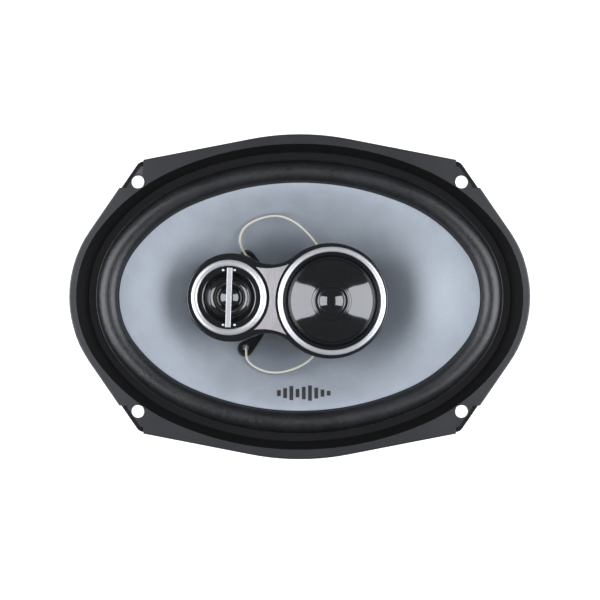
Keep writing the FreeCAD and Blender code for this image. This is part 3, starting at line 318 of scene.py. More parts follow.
BRUSHED_PLATE = Finish("brushed_plate", (0.78, 0.74, 0.75), (0.56, 0.53, 0.54), 0.42, Grain.HAIRLINE, 0.22,
                       metallic=0.75, depth=0.006, spread=0.08, mottle=0.2)
GLOSS_BLACK = Finish("gloss_black", grey(0.010, 0.1), grey(0.006, 0.1), 0.10, Grain.GLOSS, 2.5, depth=0.002,
                     spread=0.03, specular=0.9, coat=1.0, coat_roughness=0.05)
PAD_BLACK = Finish("pad_black", grey(0.020), grey(0.008), 0.5, Grain.POWDER, 0.5, depth=0.05)
NICKEL = Finish("nickel", (0.70, 0.66, 0.58), (0.52, 0.49, 0.43), 0.25, Grain.TURNED, 0.2, metallic=1.0,
                depth=0.004)
CAPACITOR_SLEEVE = Finish("capacitor_sleeve", (0.02, 0.03, 0.07), (0.012, 0.018, 0.045), 0.3,
                          Grain.GLOSS, 1.5, depth=0.004)
BOARD_BROWN = Finish("board_brown", (0.20, 0.085, 0.030), (0.11, 0.045, 0.016), 0.48, Grain.HAIRLINE, 0.5,
                     depth=0.02)
TINNED_BRASS = Finish("tinned_brass", (0.74, 0.70, 0.60), (0.55, 0.52, 0.45), 0.3, Grain.HAIRLINE, 0.25,
                      metallic=1.0, depth=0.006)
BRAID = Finish("braid", (0.86, 0.82, 0.70), (0.58, 0.53, 0.42), 0.6, Grain.WEAVE, 0.35, depth=0.03)


# ---------------------------------------------------------------- meshes
def box_mm(node: str) -> tuple[Vector, Vector]:
    """Lowest and highest corner of a CAD node, in millimetres."""
    low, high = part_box(node)
    return low / MM, high / MM


def centre_of(node: str) -> Vector:
    """Point on the axis of a round CAD node, at height zero, in millimetres."""
    low, high = box_mm(node)
    return Vector(((low.x + high.x) / 2, (low.y + high.y) / 2, 0.0))


def even_shares(steps: int) -> list[float]:
    """Shares from 0 to 1 in even steps, both ends included."""
    return [step / steps for step in range(steps + 1)]


def rounded(profile: Profile, radius: float, closed: bool = True, steps: int = 3) -> Profile:
    """Round every corner of a section.

    Args:
        profile: Corners as (distance, height).
        radius: Largest radius; short sides take less, at most the share MOST of their length.
        closed: Whether the last corner joins the first.
        steps: Straight runs in each rounding.

    Returns:
        The section with its corners rounded.
    """
    points = [Vector(point) for point in profile]
    result: Profile = []
    for index, corner in enumerate(points):
        if not closed and index in (0, len(points) - 1):
            result.append(tuple(corner))
            continue
        before = points[index - 1] - corner
        after = points[(index + 1) % len(points)] - corner
        half = before.angle(after) / 2
        reach = min(radius / math.tan(half), MOST * before.length, MOST * after.length)
        first = corner + before.normalized() * reach
        last = corner + after.normalized() * reach
        for share in even_shares(steps):
            blend = first.lerp(corner, share).lerp(corner.lerp(last, share), share)
            result.append(tuple(blend))
    return result


def lathe_rings(profile: Profile, centre: Vector, count: int = 128) -> list[Ring]:
    """Rings of points about an upright axis, with one point where the distance is zero."""
    angles = [math.tau * index / count for index in range(count)]
    rings = []
    for distance, height in profile:
        turn = angles[:1] if distance < ON_AXIS else angles
        rings.append([centre + Vector((distance * math.cos(angle), distance * math.sin(angle), height))
                      for angle in turn])
    return rings


def mesh_of(name: str, rings: list[Ring], closed: bool, sharp: float = 35.0) -> bpy.types.Object:
    """Skin a row of rings.

    Args:
        name: Name of the piece.
        rings: Loops of as many points each, or of one point at a pole.
        closed: Whether the last ring joins the first.
        sharp: Angle in degrees past which an edge stays sharp.

    Returns:
        The mesh object, in metres, at the origin.
    """
    vertices = [point * MM for ring in rings for point in ring]
    starts = [sum(len(ring) for ring in rings[:index]) for index in range(len(rings))]
    order = list(range(len(rings)))
    pairs = list(zip(order, order[1:])) + ([(order[-1], 0)] if closed else [])
    faces = []
    for one, other in pairs:
        count = max(len(rings[one]), len(rings[other]))
        for index in range(count):
            following = (index + 1) % count
            corners = []
            for ring, at in ((one, index), (one, following), (other, following), (other, index)):
                corner = starts[ring] + (at if len(rings[ring]) > 1 else 0)
                if corner not in corners:
                    corners.append(corner)
            if len(corners) > 2:
                faces.append(corners)
    mesh = bpy.data.meshes.new(name)
    mesh.from_pydata(vertices, [], faces)
    return finished(name, mesh, sharp, recalculate=True)


def placed(name: str, data: bpy.types.ID) -> bpy.types.Object:
    """Put a new object with this mesh, curve, light or camera in the scene."""
    thing = bpy.data.objects.new(name, data)
    bpy.context.scene.collection.objects.link(thing)
    return thing


def evaluated_mesh(piece: bpy.types.Object) -> bpy.types.Mesh:
    """Plain mesh of an object with its modifiers applied."""
    bpy.context.view_layer.update()
    evaluated = piece.evaluated_get(bpy.context.evaluated_depsgraph_get())
    return bpy.data.meshes.new_from_object(evaluated)


def finished(name: str, mesh: bpy.types.Mesh, sharp: float, recalculate: bool) -> bpy.types.Object:
    """Merge a mesh's doubles, smooth it and put it in the scene.

    Args:
        name: Name of the piece.
        mesh: Its mesh, in metres.
        sharp: Angle in degrees past which an edge stays sharp.
        recalculate: Whether to turn all faces outwards afresh.

    Returns:
        The new object at the origin.
    """
    work = bmesh.new()
    work.from_mesh(mesh)
    bmesh.ops.remove_doubles(work, verts=work.verts, dist=0.002 * MM)
    if recalculate:
        bmesh.ops.recalc_face_normals(work, faces=work.faces)
    work.to_mesh(mesh)
    work.free()
    mesh.polygons.foreach_set("use_smooth", [True] * len(mesh.polygons))
    mesh.set_sharp_from_angle(angle=math.radians(sharp))
    mesh.name = name
    return placed(name, mesh)


def merged_copy(node: str, bevel: float = 0.0, sharp: float = 30.0) -> bpy.types.Object:
    """Copy a CAD node as a merged mesh, with its sharp edges broken by a small bevel.

    Args:
        node: The CAD node.
        bevel: Width of the broken edges in millimetres, or 0 for none.
        sharp: Angle in degrees past which an edge counts as sharp.

    Returns:
        The new object at the origin.
    """
    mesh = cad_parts[node].data.copy()
    mesh.materials.clear()
    work = bmesh.new()
    work.from_mesh(mesh)
    bmesh.ops.remove_doubles(work, verts=work.verts, dist=0.001 * MM)
    bmesh.ops.dissolve_limit(work, angle_limit=math.radians(0.3), verts=work.verts, edges=work.edges)
    if bevel:
        edges = [edge for edge in work.edges
                 if len(edge.link_faces) == 2 and edge.calc_face_angle() > math.radians(sharp)]
        bmesh.ops.bevel(work, geom=edges, offset=bevel * MM, segments=2, profile=0.5,
                        affect="EDGES", clamp_overlap=True)
    work.to_mesh(mesh)
    work.free()
    piece = finished(node + "_skin", mesh, sharp, recalculate=False)
    flatten_shading(piece)
    return piece


def flatten_shading(piece: bpy.types.Object) -> None:
    """Let a piece's large faces shade flat, with the turn of the light kept to its broken edges."""
    modifier = piece.modifiers.new("weighting", "WEIGHTED_NORMAL")
    modifier.weight = 100
    modifier.keep_sharp = True
    mesh = evaluated_mesh(piece)
    piece.modifiers.remove(modifier)
    piece.data = mesh
    mesh.name = piece.name


def dress(piece: bpy.types.Object, finish: Finish, body: str, nodes: tuple[str, ...],
          centre: Vector = Vector((0, 0, 0)), turn: float = 0.0) -> bpy.types.Object:
    """Give a piece its finish, its body and the CAD nodes that it stands for.

    Args:
        piece: The finished piece.
        finish: Its finish.
        body: The body that it rides on, or "" to leave it on none.
        nodes: CAD nodes that it replaces.
        centre: Middle of the finish's pattern, in millimetres.
        turn: Turn of the pattern, in radians.

    Returns:
        The same piece.
    """
    piece.data.materials.clear()
    piece.data.materials.append(finish.material(centre, turn))
    if body:
        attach(piece, body)
    if nodes:
        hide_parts(*nodes)
    LOG.info("%s: %d faces, %s", piece.name, len(piece.data.polygons), finish.slot)
    return piece


def dress_copies(*rows: tuple) -> None:
    """Stand merged copies in for CAD nodes of the frame: (node, finish, bevel, sharp angle) each."""
    for node, finish, *edges in rows:
        dress(merged_copy(node, *edges), finish, "frame", (node,))


def paint_part(piece: bpy.types.Object, finish: Finish, chosen: Callable[[Vector, Vector], bool]) -> None:
    """Give the faces of a dressed piece that a test picks another finish.

    Args:
        piece: The dressed piece.
        finish: Finish of the picked faces.
        chosen: Test of a face's middle in millimetres and its normal.
    """
    piece.data.materials.append(finish.material())
    for face in piece.data.polygons:
        if chosen(face.center / MM, face.normal):
            face.material_index = 1


def stretch_between(piece: bpy.types.Object) -> None:
    """Bake a flexible piece's place into its mesh.

    Args:
        piece: The finished piece.
    """
    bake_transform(piece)


def point_shares(piece: bpy.types.Object, share_at: Callable[[Vector], float]) -> list[float]:
    """Share of the way from frame to moving body for each point, from its place in millimetres."""
    return [min(1.0, max(0.0, share_at(vertex.co / MM))) for vertex in piece.data.vertices]


# ---------------------------------------------------------------- repeated things
@dataclass
class NodeGroup:
    """A geometry tree with named inputs, and the modifier that runs it."""

    name: str
    inputs: dict[str, str]
    tree: bpy.types.NodeTree = field(init=False)
    sockets: dict = field(init=False, default_factory=dict)

    def __post_init__(self) -> None:
        """Make the tree and its sockets."""
        self.tree = bpy.data.node_groups.new(self.name, "GeometryNodeTree")
        kinds = {"geometry": "NodeSocketGeometry", "float": "NodeSocketFloat", "int": "NodeSocketInt",
                 "object": "NodeSocketObject", "material": "NodeSocketMaterial"}
        self.tree.interface.new_socket("Geometry", in_out="OUTPUT", socket_type=kinds["geometry"])
        self.tree.interface.new_socket("Geometry", in_out="INPUT", socket_type=kinds["geometry"])
        for label, kind in self.inputs.items():
            made = self.tree.interface.new_socket(label, in_out="INPUT", socket_type=kinds[kind])
            self.sockets[label] = made.identifier
        self.entry = self.tree.nodes.new("NodeGroupInput")
        self.bench = NodeBench(self.tree)

    def sweep(self, path: bpy.types.Node, section: bpy.types.Node) -> None:
        """End the tree with a section swept along a path and closed at both ends."""
        swept = self.bench.add("GeometryNodeCurveToMesh", {
            "Curve": path.outputs[0], "Profile Curve": section.outputs[0], "Fill Caps": True})
        self.close(swept.outputs[0])

    def close(self, geometry: bpy.types.NodeSocket) -> None:
        """End the tree: smooth faces, real instances, one material.

        Args:
            geometry: The geometry to hand out.
        """
        smooth = self.bench.add("GeometryNodeSetShadeSmooth", {0: geometry})
        real = self.bench.add("GeometryNodeRealizeInstances", {0: smooth.outputs[0]})
        paint = self.entry.outputs["Material"]
        painted = self.bench.add("GeometryNodeSetMaterial", {0: real.outputs[0], "Material": paint})
        leave = self.tree.nodes.new("NodeGroupOutput")
        self.bench.link(painted.outputs[0], leave.inputs[0])

    def run(self, host: bpy.types.Object, values: dict, name: str) -> bpy.types.Object:
        """Run the tree on an object and keep the result as a plain mesh.

        Args:
            host: Object that carries the modifier; it is removed afterwards.
            values: Input values by label.
            name: Name of the new piece.

        Returns:
            The new piece at the origin.
        """
        modifier = host.modifiers.new(self.name, "NODES")
        modifier.node_group = self.tree
        for label, value in values.items():
            modifier[self.sockets[label]] = value
        mesh = evaluated_mesh(host)
        host.modifiers.remove(modifier)
        bpy.data.objects.remove(host)
        mesh.name = name
        return placed(name, mesh)


def stud_group() -> NodeGroup:
    """Tree that stands one template on every point, its axis along the point's facing."""
    group = NodeGroup("studs", {"Template": "object", "Size": "float", "Material": "material"})
    bench = group.bench
    facing = bench.add("GeometryNodeInputNamedAttribute")
    facing.data_type = "FLOAT_VECTOR"
    facing.inputs["Name"].default_value = "facing"
    aligned = bench.add("FunctionNodeAlignRotationToVector", {"Vector": facing.outputs[0]})
    aligned.axis = "Z"
    template = bench.add("GeometryNodeObjectInfo", {"Object": group.entry.outputs["Template"]})
    copies = bench.add("GeometryNodeInstanceOnPoints", {
        "Points": group.entry.outputs[0], "Instance": template.outputs["Geometry"],
        "Rotation": aligned.outputs[0], "Scale": group.entry.outputs["Size"]})
    group.close(copies.outputs[0])
    return group


def lead_group() -> NodeGroup:
    """Tree that lays a bundle of twisted strands along a curve."""
    points = 30
    lobe_depth = 0.11
    group = NodeGroup("lead", {"Radius": "float", "Strands": "int", "Pitch": "float", "Step": "float",
                               "Material": "material"})
    bench = group.bench
    even = bench.add("GeometryNodeResampleCurve", {"Curve": group.entry.outputs[0]})
    even.mode = "LENGTH"
    bench.link(group.entry.outputs["Step"], even.inputs["Length"])
    along = bench.add("GeometryNodeSplineParameter")
    turns = bench.math("DIVIDE", along.outputs["Length"], group.entry.outputs["Pitch"])
    turn = bench.math("MULTIPLY", turns, math.tau)
    tilted = bench.add("GeometryNodeSetCurveTilt", {"Curve": even.outputs[0], "Tilt": turn})
    kept = bench.add("GeometryNodeStoreNamedAttribute", {"Geometry": tilted.outputs[0], "Name": "along"})
    kept.data_type = "FLOAT"
    kept.domain = "POINT"
    bench.link(along.outputs["Factor"], kept.inputs["Value"])
    radius = group.entry.outputs["Radius"]
    circle = bench.add("GeometryNodeCurvePrimitiveCircle", {"Resolution": points, "Radius": radius})
    index = bench.add("GeometryNodeInputIndex")
    around = bench.math("MULTIPLY", index.outputs[0], group.entry.outputs["Strands"])
    angle = bench.math("MULTIPLY", around, math.tau / points)
    dip = bench.math("SUBTRACT", bench.math("COSINE", angle), 1.0)
    lobes = bench.math("MULTIPLY", dip, lobe_depth)
    spot = bench.add("GeometryNodeInputPosition")
    pull = bench.add("ShaderNodeVectorMath", {0: spot.outputs[0], 3: lobes})
    pull.operation = "SCALE"
    section = bench.add("GeometryNodeSetPosition",
                        {"Geometry": circle.outputs[0], "Offset": pull.outputs[0]})
    group.sweep(kept, section)
    return group


def winding_group() -> NodeGroup:
    """Tree that winds one layer of round wire."""
    group = NodeGroup("winding", {"Turns": "float", "Radius": "float", "Height": "float", "Wire": "float",
                                  "Material": "material"})
    bench = group.bench
    spiral = bench.add("GeometryNodeCurveSpiral", {
        "Resolution": 72, "Rotations": group.entry.outputs["Turns"],
        "Start Radius": group.entry.outputs["Radius"], "End Radius": group.entry.outputs["Radius"],
        "Height": group.entry.outputs["Height"]})
    radius = group.entry.outputs["Wire"]
    wire = bench.add("GeometryNodeCurvePrimitiveCircle", {"Resolution": 8, "Radius": radius})
    group.sweep(spiral, wire)
    return group


def stud_row(group: NodeGroup, name: str, template: bpy.types.Object, places: list,
             finish: Finish) -> bpy.types.Object:
    """Stand copies of a template on points.

    Args:
        group: The stud tree.
        name: Name of the piece.
        template: Mesh made about the origin; it is removed afterwards.
        places: (point in millimetres, facing) pairs.
        finish: The studs' finish.

    Returns:
        One piece with all the studs.
    """
    mesh = bpy.data.meshes.new(name + "_points")
    mesh.from_pydata([Vector(point) * MM for point, _ in places], [], [])
    facing = mesh.attributes.new("facing", "FLOAT_VECTOR", "POINT")
    facing.data.foreach_set("vector", [number for _, way in places for number in way])
    values = {"Template": template, "Size": 1.0, "Material": finish.material()}
    piece = group.run(placed(name + "_points", mesh), values, name)
    bpy.data.objects.remove(template)
    piece.data.set_sharp_from_angle(angle=math.radians(35))
    return piece


# ---------------------------------------------------------------- ovals and the cone's dish
@dataclass(frozen=True)
class Oval:
    """Line of eight tangent arcs close to an ellipse, as the cone and its suspension follow."""

    a: float
    b: float
    bluntness: float = 0.165
    first: float = math.radians(36.4)
    second: float = math.radians(66.6)

    def arcs(self) -> tuple:
        """Centre and radius of the end, middle and side arcs, in the first quarter."""
        end = (1 + self.bluntness * (1 - self.b / self.a)) * self.b * self.b / self.a
        p = math.cos(self.second) - math.cos(self.first)
        q = math.sin(self.second) - math.sin(self.first)
        along = end - self.a - end * math.cos(self.first)
        across = self.b - end * math.sin(self.first)
        rest = 1 - math.sin(self.second)
        down = p * rest + q * math.cos(self.second)
        middle = (along * rest + across * math.cos(self.second)) / down
        side = (p * across - q * along) / down
        lean = end - middle
        corner = (self.a - end + lean * math.cos(self.first), lean * math.sin(self.first))
        return ((self.a - end, 0.0), end), (corner, middle), ((0.0, self.b - side), side)

    def points(self, grow: float, height: float, count: int) -> Ring:
        """Evenly turned points on the line, moved outwards by grow."""
        parts = self.arcs()
        ring = []
        for index in range(count):
            angle = math.tau * index / count
            c, s = math.cos(angle), math.sin(angle)
            lean = math.atan2(abs(s), abs(c))
            (x, y), radius = parts[0 if lean <= self.first else 1 if lean <= self.second else 2]
            ring.append(Vector((math.copysign(1, c) * x + (radius + grow) * c,
                                math.copysign(1, s) * y + (radius + grow) * s, height)))
        return ring

    def gap(self, x: float, y: float) -> float:
        """Distance of a point outside the line, negative inside."""
        x, y = abs(x), abs(y)
        parts = self.arcs()
        chosen = parts[1]
        if math.atan2(y - parts[0][0][1], x - parts[0][0][0]) <= self.first:
            chosen = parts[0]
        elif math.atan2(y - parts[2][0][1], x) >= self.second:
            chosen = parts[2]
        (centre_x, centre_y), radius = chosen
        return math.hypot(x - centre_x, y - centre_y) - radius


@dataclass
class Dish:
    """Front face of the woofer's cone."""

    half_length: float
    half_width: float
    neck: float
    neck_z: float
    edge_z: float
    flare: float = 1.5

    def section(self, share: float) -> Oval:
        """Outline at a share of the way from neck to edge."""
        return Oval(self.neck + (self.half_length - self.neck) * share,
                    self.neck + (self.half_width - self.neck) * share)

    def height(self, share: float) -> float:
        """Height of the face at a share of the way out."""
        return self.neck_z + (self.edge_z - self.neck_z) * (1 - (1 - share) ** self.flare)

    def height_over(self, x: float, y: float) -> float:
        """Height of the face over a point, found by halving."""
        low, high = 0.0, 1.0
        halvings = 24
        for _ in range(halvings):
            share = (low + high) / 2
            if self.section(share).gap(x, y) > 0:
                low = share
            else:
                high = share
        return self.height(low)

    def place(self, x: float, y: float, lift: float) -> Vector:
        """Point that stands off the face by lift, square to it over (x, y)."""
        return Vector((x, y, self.height_over(x, y))) + self.normal(x, y) * lift

    def normal(self, x: float, y: float) -> Vector:
        """Direction square to the face over a point."""
        step = 0.5
        slope_x = (self.height_over(x + step, y) - self.height_over(x - step, y)) / (2 * step)
        slope_y = (self.height_over(x, y + step) - self.height_over(x, y - step)) / (2 * step)
        return Vector((-slope_x, -slope_y, 1.0)).normalized()


# ---------------------------------------------------------------- sub-assemblies
@dataclass
class Basket:
    """Stamped steel basket, its rivets and the speaker's terminals."""

    studs: NodeGroup
    edge_break: float = 0.18
    rivet_circle: float = 33.0
    recess_depth: float = 7.5
    mouth_length: float = 113.9
    mouth_width: float = 77.9
    hole: tuple[float, float] = (82.5, 58.5)
    ear_start: tuple[float, float] = (79.7, 55.6)
    ear_z: float = 2.0
    ear_cuts: tuple = (((0.846, 0.533), 3.4), ((0.37, 0.929), 6.6))
    skin: float = 0.1
    upward: float = 0.05
    mouth_slack: float = 0.5
    floor_z: float = -56.0
    shank: tuple[float, float] = (2.4, -6.0)
    rivet_shoulder: tuple[float, float, float] = (0.55, 0.45, 0.95)

    def build(self) -> None:
        """Make the basket and everything fixed to its outside."""
        shell = merged_copy("basket", self.edge_break, 40.0)
        dress(shell, PAINTED_STEEL, "frame", ("basket",))
        self.cut_ear_bands(shell.data)
        flatten_shading(shell)
        mouth = Oval(self.mouth_length, self.mouth_width)
        top = box_mm("basket")[1].z - self.skin
        bottom = top + self.skin - self.recess_depth
        # Painted shade: the ears' bent-down outer bands and the upward faces in the recess get the darker
        # finish where shade falls.
        paint_part(shell, PAINTED_SHADE_BLACK, lambda spot, normal: self.in_shaded_ear_band(spot)
                   or (bottom < spot.z < top and normal.z > self.upward
                       and mouth.gap(spot.x, spot.y) < self.mouth_slack))
        self.rivets()
        dress_copies(("terminal_positive", TINNED_BRASS, 0.12), ("terminal_negative", TINNED_BRASS, 0.12),
                     ("terminal_board", BOARD_BROWN, 0.2), ("terminal_rivets", NICKEL, 0.2))

    def cut_ear_bands(self, mesh: bpy.types.Mesh) -> None:
        """Split the faces of the four ears where the painted shade of their bent-down outer band begins."""
        level, near = 0.99, 0.05
        work = bmesh.new()
        work.from_mesh(mesh)
        for side_x in (1, -1):
            for side_y in (1, -1):
                for (across, up), reach in self.ear_cuts:
                    normal = Vector((side_x * across, side_y * up, 0.0))
                    point = Vector((side_x * self.hole[0], side_y * self.hole[1], 0.0)) + normal * reach
                    tops = [face for face in work.faces if face.normal.z > level
                            and abs(face.verts[0].co.z / MM - self.ear_z) < near
                            and face.verts[0].co.x * side_x > 0 and face.verts[0].co.y * side_y > 0]
                    rims = {edge for face in tops for edge in face.edges}
                    corners = {corner for face in tops for corner in face.verts}
                    bmesh.ops.bisect_plane(work, geom=[*corners, *rims, *tops], plane_co=point * MM,
                                           plane_no=normal)
        work.to_mesh(mesh)
        work.free()

    def in_shaded_ear_band(self, spot: Vector) -> bool:
        """Whether a point lies in an ear's bent-down outer band, which gets painted shade."""
        x, y = abs(spot.x) - self.hole[0], abs(spot.y) - self.hole[1]
        beyond = any(x * across + y * up > reach for (across, up), reach in self.ear_cuts)
        above = 0.02
        return (beyond and spot.z < self.ear_z + above and abs(spot.x) > self.ear_start[0]
                and abs(spot.y) > self.ear_start[1])

    def rivets(self) -> None:
        """Domed rivets through the basket's floor."""
        high = box_mm("basket_rivets")[1]
        radius = high.x - self.rivet_circle * math.cos(math.pi / 4)
        head = high.z - self.floor_z
        shank, end = self.shank
        inward, side, top = self.rivet_shoulder
        profile = rounded([(0, end), (shank, end), (shank, 0), (radius, 0), (radius, side * head),
                           (inward * radius, top * head), (0, head)], 0.5, closed=False)
        template = mesh_of("rivet_template", lathe_rings(profile, Vector(), 40), closed=False)
        places = []
        for quarter in range(4):
            angle = math.pi / 4 + quarter * math.pi / 2
            spot = Vector((math.cos(angle), math.sin(angle), 0)) * self.rivet_circle
            places.append((spot + UP * (high.z - head), UP))
        piece = stud_row(self.studs, "basket_rivet_row", template, places, NICKEL)
        dress(piece, NICKEL, "frame", ("basket_rivets",))


@dataclass
class Motor:
    """Magnet, steel plates, the post and its bolt, and the voice coil."""

    winding: NodeGroup
    pole: float = 14.6
    plate_bore: float = 16.9
    magnet_bore: float = 22.0
    bolt_hole: float = 2.6
    bolt_head: float = 4.8
    bolt_sink: float = 3.5
    wire_turns: int = 22
    groove: tuple[float, float, float] = (9.0, 9.6, 10.4)
    groove_depth: float = 0.5
    post_neck: float = 8.0
    post_foot: float = 11.0
    post_levels: tuple[float, float, float, float] = (1.0, 4.0, 5.0, 3.0)
    former_wall: float = 0.3

    def build(self) -> None:
        """Make the motor from the front plate back."""
        self.ring("front_plate", "top_plate", self.plate_bore, PLATED_STEEL, 0.5)
        self.ring("ferrite_ring", "magnet", self.magnet_bore, FERRITE, 1.2)
        self.yoke(box_mm("top_plate")[1].z)
        self.post()
        dress_copies(("post_bolt", PLATED_STEEL, 0.15))
        self.coil()

    def ring(self, name: str, node: str, bore: float, finish: Finish, edge: float) -> None:
        """Flat ring with broken edges, in a CAD node's place."""
        low, high = box_mm(node)
        profile = rounded([(bore, low.z), (high.x, low.z), (high.x, high.z), (bore, high.z)], edge)
        piece = mesh_of(name, lathe_rings(profile, Vector(), 160), closed=True)
        flatten_shading(piece)
        dress(piece, finish, "frame", (node,))

    def yoke(self, pole_top: float) -> None:
        """Back plate and pole in one turned piece, with the bolt's counterbore."""
        low, high = box_mm("yoke")
        plate_top = box_mm("magnet")[0].z
        seat = low.z + self.bolt_sink
        first, middle, last = (high.x - inset for inset in self.groove)
        profile = rounded([(self.bolt_hole, seat), (self.bolt_head, seat), (self.bolt_head, low.z),
                           (first, low.z), (middle, low.z + self.groove_depth), (last, low.z),
                           (high.x, low.z), (high.x, plate_top), (self.pole, plate_top),
                           (self.pole, pole_top), (self.bolt_hole, pole_top)], 0.7)
        piece = mesh_of("yoke_and_pole", lathe_rings(profile, Vector(), 160), closed=True)
        flatten_shading(piece)
        dress(piece, PLATED_STEEL, "frame", ("yoke",))

    def post(self) -> None:
        """Post that carries the pod."""
        low, high = box_mm("post")
        neck, foot = self.post_neck, self.post_foot
        rim, cone, flare, head = self.post_levels
        profile = rounded([(0, low.z), (foot, low.z), (foot, low.z + rim), (neck, low.z + cone),
                           (neck, high.z - flare), (high.x, high.z - head), (high.x, high.z),
                           (0, high.z)], 0.6, closed=False)
        piece = mesh_of("pod_post", lathe_rings(profile, Vector(), 64), closed=False)
        dress(piece, POST_BLACK, "frame", ("post",))

    def coil(self) -> None:
        """Former and the wire wound on it."""
        low, high = box_mm("voice_coil_former")
        inner = high.x - self.former_wall
        profile = [(inner, low.z), (high.x, low.z), (high.x, high.z), (inner, high.z)]
        piece = mesh_of("coil_former", lathe_rings(profile, Vector(), 96), closed=True)
        dress(piece, FORMER_FILM, "woofer_cone", ("voice_coil_former",))
        wire_low, wire_high = box_mm("voice_coil_winding")
        wire = (wire_high.z - wire_low.z) / self.wire_turns / 2
        host = placed("winding_host", bpy.data.meshes.new("winding_host"))
        values = {"Turns": float(self.wire_turns - 1), "Radius": (wire_high.x - wire) * MM,
                  "Height": (wire_high.z - wire_low.z - 2 * wire) * MM, "Wire": wire * MM,
                  "Material": COPPER_WIRE.material()}
        piece = self.winding.run(host, values, "coil_winding")
        piece.data.transform(Matrix.Translation((0, 0, (wire_low.z + wire) * MM)))
        dress(piece, COPPER_WIRE, "woofer_cone", ("voice_coil_winding",))


@dataclass
class Suspension:
    """Half-roll surround at the cone's edge and the spider at its neck."""

    dish: Dish
    count: int = 288
    roll_width: float = 11.5
    lip: float = 2.5
    lip_bends: tuple[float, float] = (-0.6, 0.4)
    land_nose: tuple[float, float] = (0.5, 0.3)
    wall: float = 0.6
    groove: float = 0.9
    glue: float = 0.75
    land_z: float = -3.5
    waves: int = 5
    base_z: float = -42.0
    hems: tuple[float, float] = (2.0, 8.4)
    glued: tuple[float, float] = (1.0, 6.0)

    def build(self) -> None:
        """Make both soft rings."""
        self.surround()
        self.spider()

    def surround(self) -> None:
        """Foam half roll, from its lip under the cone to its glued land."""
        edge = self.dish.section(1.0)
        land = box_mm("surround")[1].x - self.dish.half_length
        land_z = self.land_z
        lip_z = self.dish.edge_z - WooferCone.wall - self.glue - self.wall
        radius = self.roll_width / 2
        bend_top, bend_bottom = self.lip_bends
        nose, nose_height = self.land_nose
        top: Profile = [(-self.lip, lip_z + self.wall), (bend_top, lip_z + self.wall)]
        bottom: Profile = [(-self.lip, lip_z), (bend_bottom, lip_z)]
        inner = radius - self.wall
        for share in even_shares(18):
            angle = math.pi * share
            base = lip_z + (land_z - lip_z) * share + self.wall
            top.append((radius - radius * math.cos(angle), base + radius * math.sin(angle)))
            if 0 < share < 1:
                bottom.append((radius - inner * math.cos(angle), base + inner * math.sin(angle)))
        top += [(self.roll_width + self.groove, land_z + self.wall), (land - nose, land_z + self.wall),
                (land, land_z + nose_height)]
        bottom += [(self.roll_width - self.wall, land_z), (land, land_z)]
        section = rounded(top, 0.5, closed=False, steps=2) + bottom[::-1]
        rings = [edge.points(grow, height, self.count) for grow, height in section]
        piece = mesh_of("foam_surround", rings, closed=True, sharp=60.0)
        dress(piece, SURROUND_FOAM, "", ("surround",))
        # Painted shade: the land beyond the roll gets the darker finish, where shade falls in the recess.
        paint_part(piece, PAINTED_SHADE_BLACK,
                   lambda spot, normal: edge.gap(spot.x, spot.y) > self.roll_width + 0.3 * self.groove)
        shares = point_shares(piece, lambda spot: 1 - edge.gap(spot.x, spot.y) / self.roll_width)
        stretch_between(piece)

    def spider(self) -> None:
        """Corrugated cloth ring between the former and the basket."""
        high = box_mm("spider")[1]
        inner = self.dish.neck + 0.1
        outer = high.x
        start, end = inner + self.hems[0], outer - self.hems[1]
        base = self.base_z
        crest = (high.z - base - self.wall) / 2
        run: Profile = [(inner, base + self.wall)]
        for share in even_shares(12 * self.waves):
            rise = crest * (1 - math.cos(math.tau * self.waves * share))
            run.append((start + (end - start) * share, base + self.wall + rise))
        run.append((outer, base + self.wall))
        section = run + [(distance, height - self.wall) for distance, height in reversed(run)]
        piece = mesh_of("spider_ring", lathe_rings(section, Vector(), 160), closed=True, sharp=60.0)
        dress(piece, SPIDER_CLOTH, "", ("spider",))
        near, far = inner + self.glued[0], outer - self.glued[1]
        shares = point_shares(piece, lambda spot: 1 - (spot.xy.length - near) / (far - near))
        stretch_between(piece)


